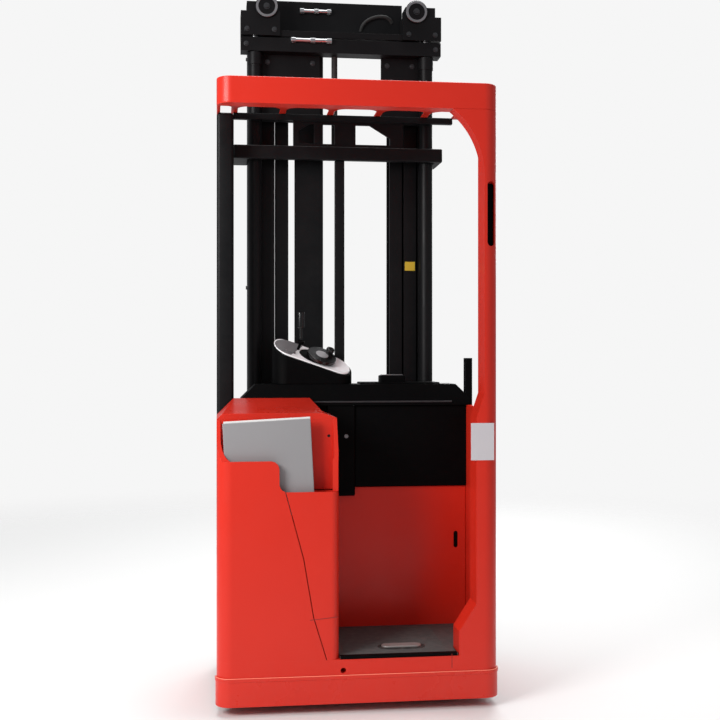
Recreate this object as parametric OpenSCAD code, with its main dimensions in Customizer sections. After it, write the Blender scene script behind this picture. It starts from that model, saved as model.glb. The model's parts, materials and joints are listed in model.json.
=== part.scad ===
// Electric pallet stacker with a stand-in operator compartment and a three-stage mast.
// Millimetres. X points right as seen from behind, Y points forward to the forks, Z points up.
// The origin is on the floor under the middle of the machine's box.

/* [Overall] */
// Width over the rear bumper
body_w = 1024; // [1000:4:1080]
// Distance from the rear face to the face of the forks
body_l = 880; // [880:5:960]
// Length of the forks from their face to the tips
fork_l = 1150; // [900:10:1400]
// Height of the overhead guard's top
guard_h = 2250; // [2200:10:2400]
// Clearance kept between pieces that move past each other
run_gap = 6; // [5:1:8]
// Clearance between a roller and the channel that it runs in
roller_gap = 0.3; // [0.3:0.1:0.6]
// Radial clearance of a turning pin in its bore
pin_gap = 0.05; // [0.02:0.01:0.1]

/* [Chassis and bumper] */
// Height of the bumper's lower edge above the floor
bumper_z = 35; // [25:1:50]
// Height of the bumper
bumper_h = 100; // [80:1:110]
// Depth of the bumper along the machine
bumper_d = 60; // [56:1:66]
// How far the bumper stands proud of the body
bumper_proud = 6; // [4:1:12]
// Corner radius of the body in plan
corner_r = 55; // [30:1:55]
// Height of the deck plate's top
deck_z = 190; // [185:1:210]
// Thickness of the deck plate
deck_t = 25; // [20:1:30]
// Thickness of the chassis side plates
skirt_t = 12; // [8:1:16]
// Height of the chassis front plate
front_plate_h = 420; // [300:10:500]
// Radius of the tow pin hole in the sill
tow_r = 10; // [8:0.5:14]

/* [Drive tower] */
// Width of the drive tower
tower_w = 432; // [420:1:445]
// Depth of the drive tower
tower_d = 414; // [400:1:420]
// Height of the tower's flanks above the floor
tower_z = 1038; // [1000:1:1060]
// Thickness of the tower's walls
tower_t = 14; // [10:1:18]
// Rise of the hood from its rear edge to its front edge
hood_rise = 43; // [20:1:60]
// Thickness of the hood's rear edge
hood_t = 22; // [16:1:30]
// Depth of the document pocket
pocket_d = 70; // [50:1:80]
// Height of the pocket's floor above the floor
pocket_z = 690; // [640:5:720]
// Height of the pocket's high lip
lip_high_z = 895; // [860:1:920]
// Height of the pocket's low lip
lip_low_z = 785; // [760:1:820]
// Radius of the lip's step
lip_r = 30; // [20:1:40]
// Width of the seam beside the corner panel
seam = 3; // [2:0.5:5]

/* [Operator compartment] */
// Distance from the rear face to the compartment's front wall
wall_d = 450; // [440:1:480]
// Thickness of the front wall
wall_t = 20; // [16:1:24]
// Height of the top of the painted wall
wall_z = 750; // [700:5:800]
// Thickness of the platform mat
mat_t = 10; // [8:1:16]
// Width of the corner post beside the tower
corner_post_w = 108; // [80:1:130]
// Thickness of the side covers
cover_t = 24; // [18:1:30]

/* [Dash and controls] */
// Height of the dash shelf's underside
dash_z = 1072; // [1070:1:1080]
// Height of the dash shelf
dash_h = 83; // [70:1:95]
// Distance from the rear face to the dash's lip
dash_d = 426; // [424:1:436]
// Distance from the rear face to the dash's front edge
dash_front = 590; // [580:1:595]
// Width of the control pod
pod_w = 316; // [280:1:340]
// Depth of the control pod
pod_d = 122; // [110:1:124]
// Height of the middle of the pod's top above the dash
pod_h = 106; // [95:1:125]
// Fall of the pod's top to the right
pod_slope = 19; // [14:1:22]
// Fall of the pod's top to the rear
pod_tilt = 27; // [20:1:30]
// Radius of the steering disc
steer_r = 60; // [48:1:62]

/* [Overhead guard] */
// Depth of the guard from the rear face
guard_d = 595; // [592:1:600]
// Height of the guard's rim
rim_h = 95; // [80:1:110]
// Height of the guard's left flange
flange_h = 35; // [30:1:50]
// Thickness of the guard's left flange
flange_w = 14; // [10:1:20]
// Depth of the guard's rear rim
rim_t = 66; // [60:1:72]
// Thickness of the guard's top plate
roof_t = 10; // [8:1:14]
// Side of the left pillar's tube
post_w = 66; // [50:1:68]
// Distance from the rear face to the left pillar
post_d = 446; // [444:1:450]
// Depth of the right pillar
pillar_d = 104; // [90:1:115]
// Pitch of the guard's bars
bar_pitch = 193; // [185:1:195]
// Width of the guard's bars
bar_w = 26; // [20:1:34]
// Distance from the rear face to the guard's slots
slot_d = 455; // [430:5:480]

/* [Mast] */
// Distance from the fork face back to the mast's middle plane
carriage_zone = 135; // [135:1:150]
// Half width over the outer rails
mast_half = 380; // [370:1:390]
// Height of the outer rails' tops
outer_top = 2555; // [2500:1:2580]
// Height of the middle stage's rails
middle_top = 2600; // [2590:1:2640]
// Height of the inner stage's top
inner_top = 2735; // [2725:1:2780]
// Height of the lowest ends of the moving rails
rail_z = 96; // [95:1:110]
// Travel of each telescopic stage
stage_lift = 1700; // [1200:10:1750]
// Travel of the carriage in the inner stage
free_lift = 1800; // [1200:10:1850]
// Radius of the lift cylinders
lift_r = 27; // [22:1:30]
// Radius of the free-lift cylinder
free_r = 40; // [30:1:45]
// Sideways place of the free-lift cylinder
free_x = -136; // [-140:1:-130]

/* [Forks and legs] */
// Width over both forks
fork_span = 560; // [540:5:580]
// Width of one fork
fork_w = 185; // [175:1:190]
// Height of the lowered forks' tops
fork_z = 96; // [95:1:105]
// Thickness of the fork's steel
fork_t = 8; // [6:1:9]
// Height of the support legs' tops
leg_z = 76; // [70:1:78]
// Height of the support legs' undersides
leg_clear = 16; // [12:1:20]
// Thickness of a leg's cheeks
cheek_t = 20; // [16:1:24]

/* [Wheels] */
// Radius of the load wheels
load_r = 40; // [36:0.5:41]
// Distance between the tandem load wheels
load_pitch = 92; // [88:1:100]
// Radius of the drive wheel
drive_r = 115; // [105:1:118]
// Width of the drive wheel
drive_w = 75; // [60:1:80]
// Distance from the body's left flank to the drive wheel
drive_inset = 206; // [200:1:210]
// Distance from the rear face to the drive wheel
drive_d = 236; // [230:1:240]
// Radius of the castor wheels
castor_r = 70; // [60:1:72]
// Width of one castor wheel
castor_w = 42; // [34:1:46]
// Distance from the body's right flank to the castor's swivel
castor_inset = 194; // [184:1:204]
// Distance from the rear face to the castor's swivel
castor_d = 236; // [230:1:240]
// Trail of the castor
castor_trail = 36; // [30:1:40]

/* [Hidden] */
$fn = 64;
e = 1;

rear = -(body_l + fork_l) / 2;
half_w = body_w / 2 - bumper_proud;
body_in = half_w - cover_t;
drive_x = drive_inset - half_w;
castor_x = half_w - castor_inset;
deck_low = deck_z - deck_t;
bumper_top = bumper_z + bumper_h;

tower_x0 = -half_w;
tower_x1 = tower_x0 + tower_w;
tower_front = bumper_proud + tower_d;
panel_t = tower_t;
lip_step_w = 220;
lip_x = tower_x0 + lip_step_w;

outer_web = 14;
outer_flange = 14;
outer_half_d = 75;
stage_w = 52;
middle_x1 = mast_half - stage_w - run_gap;
inner_x1 = middle_x1 - stage_w - run_gap;
inner_x0 = inner_x1 - stage_w;
middle_half_d = outer_half_d - outer_flange - 1;
inner_half_d = middle_half_d - 15;
middle_flange = 13;
inner_flange = 12;
mast_d = body_l - carriage_zone;
mast_back = mast_d - outer_half_d;
tie_t = 12;
tie_h = 56;

lift_x = mast_half - lift_r - 1;
lift_d = mast_back - tie_t - run_gap - lift_r;
lift_barrel_top = outer_top - tie_h;

crossbar_z = 2058;
crossbar_h = 55;
crossbar_half = mast_half + 60;
crossbar_t = 25;
crossbar_d = dash_front - crossbar_t;
roof_low = guard_h - roof_t;
rim_low = guard_h - rim_h;

leg_w = fork_w - 2 * fork_t - 2 * run_gap;
fork_x = (fork_span - fork_w) / 2;
axle_r = 10;
load_w = leg_w - 2 * cheek_t - 2 * run_gap;
load_setback = 120;
load_tip_d = body_l + fork_l - load_setback;

axle_drive_r = 20;
spindle_r = 60;
turret_z = 258;
turret_t = 20;
swing_r = 140;
castor_axle_r = 12;
castor_spindle_r = 20;
castor_leg_w = 30;

function y_at(d) = rear + d;

// Block between two corners
module block(x0, x1, d0, d1, z0, z1) {
    translate([x0, y_at(d0), z0])
        cube([x1 - x0, d1 - d0, z1 - z0]);
}

// What a round corner takes off a square one at the local origin
module corner_cut(r) {
    difference() {
        translate([-e, -e])
            square(r + e);
        translate([r, r])
            circle(r);
    }
}

// Plan outline with round rear corners, left and right
module plan(x0, x1, d0, d1, r_left, r_right) {
    difference() {
        translate([x0, y_at(d0)])
            square([x1 - x0, d1 - d0]);
        if (r_left > 0)
            translate([x0, y_at(d0)])
                corner_cut(r_left);
        if (r_right > 0)
            translate([x1, y_at(d0)])
                mirror([1, 0])
                    corner_cut(r_right);
    }
}

// Upright plate drawn in X and Z, standing from d0 to d1
module upright(d0, d1) {
    translate([0, y_at(d1), 0])
        rotate([90, 0, 0])
            linear_extrude(d1 - d0)
                children();
}

// Side profile drawn in distance from the rear and Z, from x0 to x1
module side_profile(x0, x1) {
    translate([x0, rear, 0])
        rotate([90, 0, 90])
            linear_extrude(x1 - x0)
                children();
}

// Round bar along X
module bar_x(x0, x1, d, z, r) {
    translate([x0, y_at(d), z])
        rotate([0, 90, 0])
            cylinder(h = x1 - x0, r = r);
}

// Round bar along Z
module bar_z(x, d, z0, z1, r) {
    translate([x, y_at(d), z0])
        cylinder(h = z1 - z0, r = r);
}

// Both mirror images of a piece about the middle plane
module both_sides() {
    children();
    mirror([1, 0, 0])
        children();
}

// Chassis, bumper and platform
orange = [0.80, 0.19, 0.15];
dark = [0.09, 0.09, 0.10];
steel = [0.62, 0.63, 0.65];
tow_x = tower_x1 + 14;
tow_z = bumper_top + 16;
skirt_z = bumper_z + 10;
turret_half_w = 175;
turret_half_d = 148;
turret_leg = 14;

// Deck, sill, skirts, front plate and the seat of the drive unit
module chassis() {
    color(orange)
        difference() {
            union() {
                translate([0, 0, deck_low])
                    linear_extrude(deck_t)
                        plan(-half_w, half_w, bumper_proud, mast_back, corner_r, corner_r);
                translate([0, 0, bumper_top])
                    linear_extrude(deck_low - bumper_top)
                        plan(-half_w, half_w, bumper_proud, bumper_d + skirt_t, corner_r, corner_r);
                block(-half_w, half_w, bumper_d, bumper_d + skirt_t, skirt_z, bumper_top);
                both_sides()
                    block(half_w - skirt_t, half_w, bumper_d, mast_back, skirt_z, deck_low);
                block(-half_w, half_w, mast_back - skirt_t, mast_back, skirt_z, deck_low);
                block(-mast_half, mast_half, mast_back - skirt_t, mast_back, leg_clear, front_plate_h);
                translate([drive_x, y_at(drive_d), 0])
                    turret_seat();
            }
            bar_z(drive_x, drive_d, deck_low - e, turret_z, swing_r);
            bar_z(drive_x, drive_d, turret_z - e, turret_z + turret_t + e, spindle_r + pin_gap);
            bar_z(castor_x, castor_d, deck_low - e, deck_z + e, castor_spindle_r + pin_gap);
            translate([tow_x, y_at(bumper_proud - e), tow_z])
                rotate([-90, 0, 0])
                    cylinder(h = bumper_d + skirt_t, r = tow_r);
        }
}

// Raised plate on two legs that carries the drive unit's bearing
module turret_seat() {
    translate([-turret_half_w, -turret_half_d, turret_z])
        cube([2 * turret_half_w, 2 * turret_half_d, turret_t]);
    both_sides()
        translate([turret_half_w - turret_leg, -turret_half_d, deck_low])
            cube([turret_leg, 2 * turret_half_d, turret_z - deck_low]);
}

// Heavy band along the rear edge, with round corners
module rear_bumper() {
    lip_h = 12;
    color(orange) {
        translate([0, 0, bumper_z])
            linear_extrude(bumper_h - lip_h)
                plan(-body_w / 2 + 2, body_w / 2 - 2, 2, bumper_d, corner_r, corner_r);
        translate([0, 0, bumper_top - lip_h])
            linear_extrude(lip_h)
                plan(-body_w / 2, body_w / 2, 0, bumper_d, corner_r, corner_r);
    }
}

// Drive tower
pillar_base_w = 147;
pillar_base_x = half_w - pillar_base_w;
mat_gap = 3;

// Tower walls with the document pocket still closed
module tower_walls() {
    difference() {
        translate([0, 0, deck_z])
            linear_extrude(tower_z - deck_z)
                plan(tower_x0, tower_x1, bumper_proud, tower_front, corner_r, corner_r / 2);
        translate([0, 0, deck_z - e])
            linear_extrude(pocket_z - tower_t - deck_z + e)
                tower_inside(bumper_proud + tower_t, corner_r - tower_t, corner_r / 2 - tower_t);
        translate([0, 0, pocket_z - tower_t - e])
            linear_extrude(tower_z - pocket_z + tower_t + 2 * e)
                tower_inside(bumper_proud + 2 * panel_t + pocket_d, 0, 0);
    }
}

// Plan of the space inside the tower, from a depth d0, with its rear corners rounded
module tower_inside(d0, r_left, r_right) {
    plan(tower_x0 + tower_t, tower_x1 - tower_t, d0, tower_front - tower_t, r_left, r_right);
}

// Opening of the document pocket, above its stepped lip
module pocket_cut() {
    pocket_d0 = bumper_proud + panel_t;
    translate([0, 0, pocket_z])
        linear_extrude(tower_z - pocket_z + e)
            plan(tower_x0 + tower_t, tower_x1 - tower_t, pocket_d0, pocket_d0 + pocket_d,
                 corner_r - tower_t, corner_r / 2 - tower_t);
    upright(-e, pocket_d0 + e)
        difference() {
            translate([tower_x0 - e, lip_low_z])
                square([tower_w + 2 * e, tower_z - lip_low_z + e]);
            lip_step();
        }
    side_profile(tower_x0 - e, tower_x1 + e)
        polygon([
            [-e, lip_high_z],
            [bumper_proud + panel_t, lip_high_z],
            [pocket_d0 + pocket_d, tower_z + e],
            [-e, tower_z + e]
        ]);
}

// High part of the lip, with a round shoulder and a round foot
module lip_step() {
    difference() {
        translate([tower_x0 - 2 * e, lip_low_z - e])
            square([lip_x - tower_x0 + 2 * e, lip_high_z - lip_low_z + e]);
        translate([lip_x, lip_high_z])
            rotate(180)
                corner_cut(lip_r);
    }
    translate([lip_x, lip_low_z])
        difference() {
            translate([-e, -e])
                square(lip_r + e);
            translate([lip_r, lip_r])
                circle(lip_r);
        }
}

// Region of the corner panel, right of the slanting seam
module seam_region(shift) {
    seam_in = [128, 93, 46];
    seam_z = [549, 342];
    seam_line = [
        [lip_x + 20, lip_low_z + e], [tower_x1 - seam_in[0], seam_z[0]],
        [tower_x1 - seam_in[1], seam_z[1]], [tower_x1 - seam_in[2], deck_z - e]
    ];
    upright(-e, tower_front + e)
        polygon(concat(
            [for (p = seam_line) [p[0] + shift, p[1]]],
            [[tower_x1 + e, deck_z - e], [tower_x1 + e, lip_low_z + e]]
        ));
}

// Tower walls left of the slanting seam, with the pocket
module tower_cover() {
    color(orange)
        difference() {
            tower_walls();
            pocket_cut();
            seam_region(0);
        }
}

// Panel right of the slanting seam
module corner_panel() {
    color(orange)
        difference() {
            intersection() {
                tower_walls();
                seam_region(seam);
            }
            pocket_cut();
            block(tower_x0, tower_x1 + e, bumper_proud + panel_t, tower_front + e, lip_low_z - seam, tower_z);
        }
}

// Sloping lid on the tower, behind the pocket
module tower_hood() {
    hood_d0 = bumper_proud + panel_t + pocket_d;
    slant_w = 46;
    slant_h = hood_t * 0.8;
    top_z = tower_z + hood_t + hood_rise;
    color(orange)
        intersection() {
            side_profile(tower_x0, tower_x1)
                polygon([
                    [hood_d0, tower_z],
                    [tower_front, tower_z],
                    [tower_front, top_z],
                    [tower_front - 30, top_z],
                    [hood_d0, tower_z + hood_t]
                ]);
            upright(0, tower_front + e)
                polygon([
                    [tower_x0 - e, tower_z - e],
                    [tower_x1 + e, tower_z - e],
                    [tower_x1 + e, tower_z + hood_t - slant_h],
                    [tower_x1 - slant_w, tower_z + hood_t],
                    [tower_x1 - 1.6 * slant_w, top_z + e],
                    [tower_x0 + hood_t + hood_rise, top_z + e],
                    [tower_x0 - e, tower_z + e]
                ]);
        }
}

// Folder that stands in the document pocket, leaning a little
module document_folder() {
    folder_w = 312;
    folder_h = 338;
    folder_t = 14;
    folder_lean = 3;
    color([0.62, 0.62, 0.62])
        translate([tower_x0 + tower_t + 24, y_at(bumper_proud + panel_t + 14), pocket_z + roller_gap])
            rotate([0, -folder_lean, 0])
                cube([folder_w, folder_t, folder_h]);
}

// Platform mat, notched around the right pillar's base
module platform_mat() {
    color([0.40, 0.38, 0.37])
        translate([0, 0, deck_z])
            linear_extrude(mat_t)
                difference() {
                    translate([tower_x1 + mat_gap, y_at(bumper_proud + mat_gap)])
                        square([body_in - tower_x1 - 2 * mat_gap, wall_d - bumper_proud - 2 * mat_gap]);
                    translate([pillar_base_x - mat_gap, y_at(0)])
                        square([body_in, bumper_proud + pillar_d + mat_gap]);
                }
}

// Oval plate of the presence pedal
module floor_pedal() {
    pedal_x = 167;
    pedal_d = 123;
    pedal_half = 50;
    pedal_r = 24;
    pedal_t = 8;
    color(steel)
        translate([pedal_x, y_at(pedal_d), deck_z + mat_t]) {
            for (side = [-1, 1])
                translate([side * pedal_half, 0, 0])
                    cylinder(h = pedal_t, r = pedal_r);
            translate([-pedal_half, -pedal_r, 0])
                cube([2 * pedal_half, 2 * pedal_r, pedal_t]);
        }
}

// Compartment, dash and controls
dash_top = dash_z + dash_h;
corner_post_x1 = tower_x1 + corner_post_w;
knee_proud = 10;
post_proud = 20;
post_low = wall_z - 34;

// Painted wall in front of the operator
module compartment_wall() {
    wall_reach = 40;
    color(orange)
        block(tower_x1 - wall_reach, body_in, wall_d, wall_d + wall_t, deck_z, wall_z);
}

// Dark panel above the wall
module knee_panel() {
    color(dark)
        block(corner_post_x1, body_in, wall_d - knee_proud, wall_d + wall_t, wall_z, dash_z);
}

// Dark post between the tower and the knee panel
module corner_post() {
    color(dark) {
        block(tower_x1, corner_post_x1, wall_d - post_proud, wall_d, post_low, dash_z);
        block(tower_x1, corner_post_x1, wall_d - e, wall_d + wall_t, wall_z, dash_z);
    }
}

// Shelf over the knee panel, with a lip and slanting ends
module dash_shelf() {
    dash_inset = 94;
    dash_x0 = -half_w + dash_inset;
    dash_x1 = body_in + cover_t / 2;
    lip_h = 24;
    slope_d = 20;
    end_cut = 56;
    grip_w = 26;
    grip_d = 42;
    grip_h = 186;
    grip_x1 = half_w - 2;
    color(dark) {
        difference() {
            side_profile(dash_x0, dash_x1)
                polygon([
                    [dash_d, dash_z],
                    [dash_front, dash_z],
                    [dash_front, dash_top],
                    [dash_d + slope_d, dash_top],
                    [dash_d, dash_z + lip_h]
                ]);
            upright(dash_d - e, dash_front + e)
                polygon([
                    [dash_x0 - e, dash_top - end_cut],
                    [dash_x0 + end_cut, dash_top + e],
                    [dash_x0 - e, dash_top + e]
                ]);
            upright(dash_d - e, dash_front + e)
                polygon([
                    [dash_x1 + e, dash_top - end_cut],
                    [dash_x1 - end_cut, dash_top + e],
                    [dash_x1 + e, dash_top + e]
                ]);
        }
        block(grip_x1 - grip_w, grip_x1, dash_d + 6, dash_d + 6 + grip_d, dash_z, dash_z + grip_h);
    }
}

pod_x0 = -288;
pod_x1 = pod_x0 + pod_w;
pod_d0 = dash_d + 20;
pod_r = pod_d / 2;
pod_mid_x = (pod_x0 + pod_x1) / 2;
pod_mid_z = dash_top + pod_h;
face_t = 5;
face_edge = 7;
steer_at = 34;
steer_lift = 12;
steer_spindle_r = 12;
steer_t = 14;
spindle_l = 46;

// Places its children on the pod's sloping top
module on_pod_top() {
    translate([pod_mid_x, y_at(pod_d0 + pod_r), pod_mid_z])
        rotate([pod_tilt, pod_slope, 0])
            children();
}

// Plan of the pod, with round ends, smaller by an edge
module pod_plan(edge) {
    translate([pod_x0 + pod_r, y_at(pod_d0 + edge)])
        square([pod_w - pod_d, pod_d - 2 * edge]);
    for (x = [pod_x0 + pod_r, pod_x1 - pod_r])
        translate([x, y_at(pod_d0 + pod_r)])
            circle(pod_r - edge);
}

// Slice of the pod between two heights above its sloping top
module pod_slice(edge, low, high) {
    intersection() {
        translate([0, 0, dash_top])
            linear_extrude(2 * pod_h)
                pod_plan(edge);
        on_pod_top()
            translate([-pod_w, -pod_w, low])
                cube([2 * pod_w, 2 * pod_w, high - low]);
    }
}

// Housing of the controls, its top falling away to the right and the rear
module control_pod() {
    color(dark)
        difference() {
            pod_slice(0, -2 * pod_w, 0);
            on_pod_top()
                translate([steer_at, 0, -spindle_l - e])
                    cylinder(h = spindle_l + 2 * e, r = steer_spindle_r + pin_gap);
        }
}

// Bright plate on the pod's sloping top
module control_face() {
    color([0.85, 0.86, 0.87])
        difference() {
            pod_slice(face_edge, 0, face_t);
            on_pod_top()
                translate([steer_at, 0, -e])
                    cylinder(h = face_t + 2 * e, r = steer_spindle_r + 2);
        }
}

// Small lever with a flat knob on the bright plate
module control_lever() {
    lever_at = [-62, 14];
    stem_r = 6;
    stem_h = 30;
    knob_r = 14;
    knob_h = 14;
    color(dark)
        on_pod_top()
            translate([lever_at[0], lever_at[1], face_t]) {
                cylinder(h = stem_h + e, r = stem_r);
                translate([0, 0, stem_h])
                    cylinder(h = knob_h, r = knob_r);
            }
}

// Steering disc with its knob and spindle
module steering_disc() {
    knob_at = [26, 22];
    knob_r = 12;
    knob_h = 24;
    color(dark)
        on_pod_top()
            translate([steer_at, 0, steer_lift]) {
                cylinder(h = steer_t, r = steer_r);
                translate([0, 0, -spindle_l])
                    cylinder(h = spindle_l + e, r = steer_spindle_r);
                translate([knob_at[0], knob_at[1], steer_t - e])
                    cylinder(h = knob_h + e, r = knob_r);
            }
}

// Overhead guard
pillar_x0 = half_w - 54;
pillar_mid_w = 84;
pillar_mid_x = half_w - pillar_mid_w;
// Inner edge of the right pillar as x and z, from the base up
pillar_edge = [
    [pillar_base_x, deck_z], [pillar_base_x, 277], [pillar_mid_x, 374],
    [pillar_mid_x, 1042], [pillar_x0, 1131], [pillar_x0, rim_low]
];
fillet_r = 298;
fillet_h = 235;
grab_x = half_w - 28;
grab_w = 30;
grab_z0 = 1663;
grab_h = 235;
grab_d = 40;

// Painted rear pillar on the right, with a grab recess
module right_pillar() {
    color(orange)
        difference() {
            intersection() {
                union() {
                    upright(bumper_proud, bumper_proud + pillar_d)
                        polygon(concat(pillar_edge, [[half_w, rim_low], [half_w, deck_z]]));
                    block(pillar_x0, half_w, bumper_proud + rim_t, bumper_proud + pillar_d,
                          rim_low - e, roof_low);
                    upright(bumper_proud, bumper_proud + rim_t)
                        difference() {
                            translate([pillar_x0 - fillet_r / 2, rim_low - fillet_h])
                                square([fillet_r / 2 + e, fillet_h]);
                            translate([pillar_x0 - fillet_r, rim_low - fillet_h])
                                circle(fillet_r);
                        }
                }
                translate([0, 0, deck_z])
                    linear_extrude(roof_low - deck_z)
                        plan(0, half_w, bumper_proud, bumper_proud + pillar_d, 0, corner_r);
            }
            upright(-e, bumper_proud + grab_d)
                translate([grab_x, grab_z0]) {
                    translate([-grab_w / 2, grab_w / 2])
                        square([grab_w, grab_h - grab_w]);
                    for (end = [grab_w / 2, grab_h - grab_w / 2])
                        translate([0, end])
                            circle(grab_w / 2);
                }
        }
}

// Flat covers beside the battery and the compartment
module side_covers() {
    color(orange) {
        block(body_in, half_w, bumper_proud + pillar_d, dash_front, deck_z, dash_z);
        block(-half_w, -body_in, post_d + post_w, dash_front, deck_z, dash_z);
    }
}

// Roof with a deep rim at the rear, a flange at the left and slots open towards the mast
module guard_roof() {
    first_bar_x = -half_w + 70;
    last_bar = 4;
    slot_r = 50;
    rim_front = bumper_proud + rim_t;
    last_slot_x = first_bar_x + last_bar * bar_pitch + bar_w / 2;
    color(orange)
        difference() {
            translate([0, 0, rim_low])
                linear_extrude(rim_h)
                    plan(-half_w, half_w, bumper_proud, guard_d, corner_r, corner_r);
            block(-half_w - e, half_w + e, rim_front, guard_d + e, rim_low - e, guard_h - flange_h);
            block(-half_w + flange_w, half_w + e, rim_front, guard_d + e, rim_low - e, roof_low);
            translate([0, 0, roof_low - e])
                linear_extrude(roof_t + 2 * e) {
                    for (i = [0 : last_bar - 1])
                        translate([first_bar_x + i * bar_pitch + bar_w / 2, 0])
                            plan(0, bar_pitch - bar_w, slot_d, guard_d + e, slot_r, slot_r);
                    plan(-half_w + flange_w, first_bar_x - bar_w / 2, slot_d, guard_d + e, 0, slot_r / 2);
                    plan(last_slot_x, pillar_x0, slot_d, guard_d + e, slot_r, 0);
                }
        }
}

// Dark tube at the left that carries the guard
module left_pillar() {
    color(dark)
        block(-half_w, -half_w + post_w, post_d, post_d + post_w, deck_z, guard_h - flange_h);
}

header_t = 12;
header_d = dash_front - header_t;
crossbar_top = crossbar_z + crossbar_h;

// Plate with windows between the crossbar and the roof's front edge
module guard_header() {
    plate_x0 = -200;
    plate_x1 = 250;
    sill_h = 12;
    head_h = 25;
    cut = 42;
    z0 = crossbar_top + sill_h;
    z1 = roof_low - head_h - sill_h;
    // Windows as left edge, right edge, left chamfer and right chamfer
    windows = [[-176, -116, cut, 0], [-81, -32, 0, 0], [54, 195, 0, 2 * cut]];
    color(dark)
        difference() {
            union() {
                block(plate_x0, plate_x1, header_d, dash_front, crossbar_top, roof_low);
                block(-half_w + post_w, pillar_x0, crossbar_d, dash_front, roof_low - head_h, roof_low);
            }
            for (w = windows)
                upright(header_d - e, dash_front + e)
                    polygon([
                        [w[0], z0], [w[1], z0],
                        [w[1], z1 - w[3] * 0.6], [w[1] - w[3], z1],
                        [w[0] + w[2], z1], [w[0], z1 - w[2] * 0.6]
                    ]);
        }
}

// Bar across the mast with brackets that hold the outer rails
module guard_crossbar() {
    right_x = crossbar_half - 30;
    color(dark) {
        block(-crossbar_half, right_x, crossbar_d, dash_front, crossbar_z, crossbar_top);
        block(-crossbar_half, -mast_half, crossbar_d, mast_d, crossbar_z, crossbar_top);
        block(mast_half, right_x, crossbar_d, mast_d, crossbar_z, crossbar_top);
    }
}

// Thin post of the mast guard, from the dash to the crossbar
module screen_post() {
    screen_x = -12;
    screen_w = 40;
    screen_t = 16;
    color(dark)
        block(screen_x - screen_w / 2, screen_x + screen_w / 2, dash_front - screen_t, dash_front,
              dash_top, crossbar_z);
}

// Battery block behind the compartment's wall
module battery() {
    battery_half = body_in - 75;
    battery_gap = 4;
    color([0.16, 0.17, 0.19])
        block(-battery_half, battery_half, wall_d + wall_t + battery_gap, dash_front - battery_gap,
              deck_z, dash_z - 3 * battery_gap);
}

// Mast
roller_t = 30;
first_roller = 80;
roller_pitch = 600;
roller_z = [rail_z + first_roller, rail_z + first_roller + roller_pitch];
block_z = outer_top + run_gap;
block_h = 137;
block_top = block_z + block_h;
middle_back = mast_d - middle_half_d;
middle_tie_t = 10;
rod_r = 18;
rod_gap = 0.3;
rod_end = 60;

// Channel with its open side towards the middle plane, on the right
module rail(x1, half_d, web, flange, z0, z1) {
    difference() {
        block(x1 - stage_w, x1, mast_d - half_d, mast_d + half_d, z0, z1);
        block(x1 - stage_w - e, x1 - web, mast_d - half_d + flange, mast_d + half_d - flange, z0 - e, z1 + e);
    }
}

// Rollers on the outside of a rail at x, reaching into the next channel
module rollers(x, r, heights) {
    for (z = heights) {
        bar_x(x - e, x + run_gap + e, mast_d, z, r / 2);
        bar_x(x + run_gap, x + run_gap + roller_t, mast_d, z, r);
    }
}

// Fixed outer rails with their ties and the head beam that the lift rods pass through
module mast_outer() {
    low_tie_z = 900;
    tie_z = [outer_top - tie_h, crossbar_z + 14, low_tie_z];
    beam_half = mast_half + 30;
    plate_x = 85;
    plate_h = 330;
    base_t = 12;
    color(dark) {
        both_sides()
            rail(mast_half, outer_half_d, outer_web, outer_flange, leg_z, outer_top);
        for (z = tie_z)
            block(-mast_half, mast_half, mast_back - tie_t, mast_back, z, z + tie_h);
        difference() {
            block(-beam_half, beam_half, lift_d - lift_r, mast_back, lift_barrel_top, outer_top);
            both_sides()
                bar_z(lift_x, lift_d, lift_barrel_top - e, outer_top + e, rod_r + run_gap);
        }
        block(-mast_half, -plate_x, mast_back - tie_t, mast_back, outer_top - plate_h, outer_top);
        block(2 * plate_x, mast_half, mast_back - tie_t, mast_back, outer_top - plate_h, outer_top);
        block(-mast_half + outer_web, mast_half - outer_web, mast_back + 25, mast_d + 55,
              leg_z, leg_z + base_t);
    }
}

// Barrels of the two lift cylinders behind the outer rails
module lift_cylinders() {
    barrel_floor = 40;
    color(dark)
        both_sides()
            difference() {
                bar_z(lift_x, lift_d, deck_z, lift_barrel_top, lift_r);
                bar_z(lift_x, lift_d, deck_z + barrel_floor, lift_barrel_top + e, rod_r + rod_gap);
            }
}

// Middle stage with its head, chain wheels, ties and rollers
module mast_middle() {
    low_tie_z = 300;
    high_tie_z = 1000;
    tie_z = [low_tie_z, high_tie_z];
    head_back = lift_d - lift_r - 8;
    head_x0 = 252;
    head_x1 = 410;
    head_bar_in = 10;
    head_bar_t = 20;
    head_bar_h = 24;
    bar_back = head_back + head_bar_in;
    wheel_x = 306;
    wheel_r = 46;
    wheel_z = block_top - 22;
    wheel_t = 30;
    color(dark) {
        block(-head_x0 - e, head_x0 + e, bar_back, bar_back + head_bar_t, block_z, block_z + head_bar_h);
        both_sides() {
            rail(middle_x1, middle_half_d, outer_web, middle_flange, rail_z, middle_top);
            rollers(middle_x1, outer_half_d - outer_flange - roller_gap, roller_z);
            block(head_x0, head_x1, head_back, middle_back + middle_tie_t, block_z, block_top - 40);
            block(head_x0 + 10, head_x1 - 24, head_back + 6, middle_back, block_top - 41, block_top);
            translate([wheel_x, y_at(head_back + wheel_t - 8), wheel_z])
                rotate([90, 0, 0])
                    cylinder(h = wheel_t, r = wheel_r);
        }
        for (z = tie_z)
            block(-middle_x1, middle_x1, middle_back, middle_back + middle_tie_t, z, z + tie_h);
        block(-head_x0 - e, head_x0 + e, mast_back - tie_t, middle_back + middle_tie_t, block_z, middle_top);
        block(free_x - 52, free_x + 66, middle_back - 9, middle_back + e, tie_z[0], block_z + e);
    }
}

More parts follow.
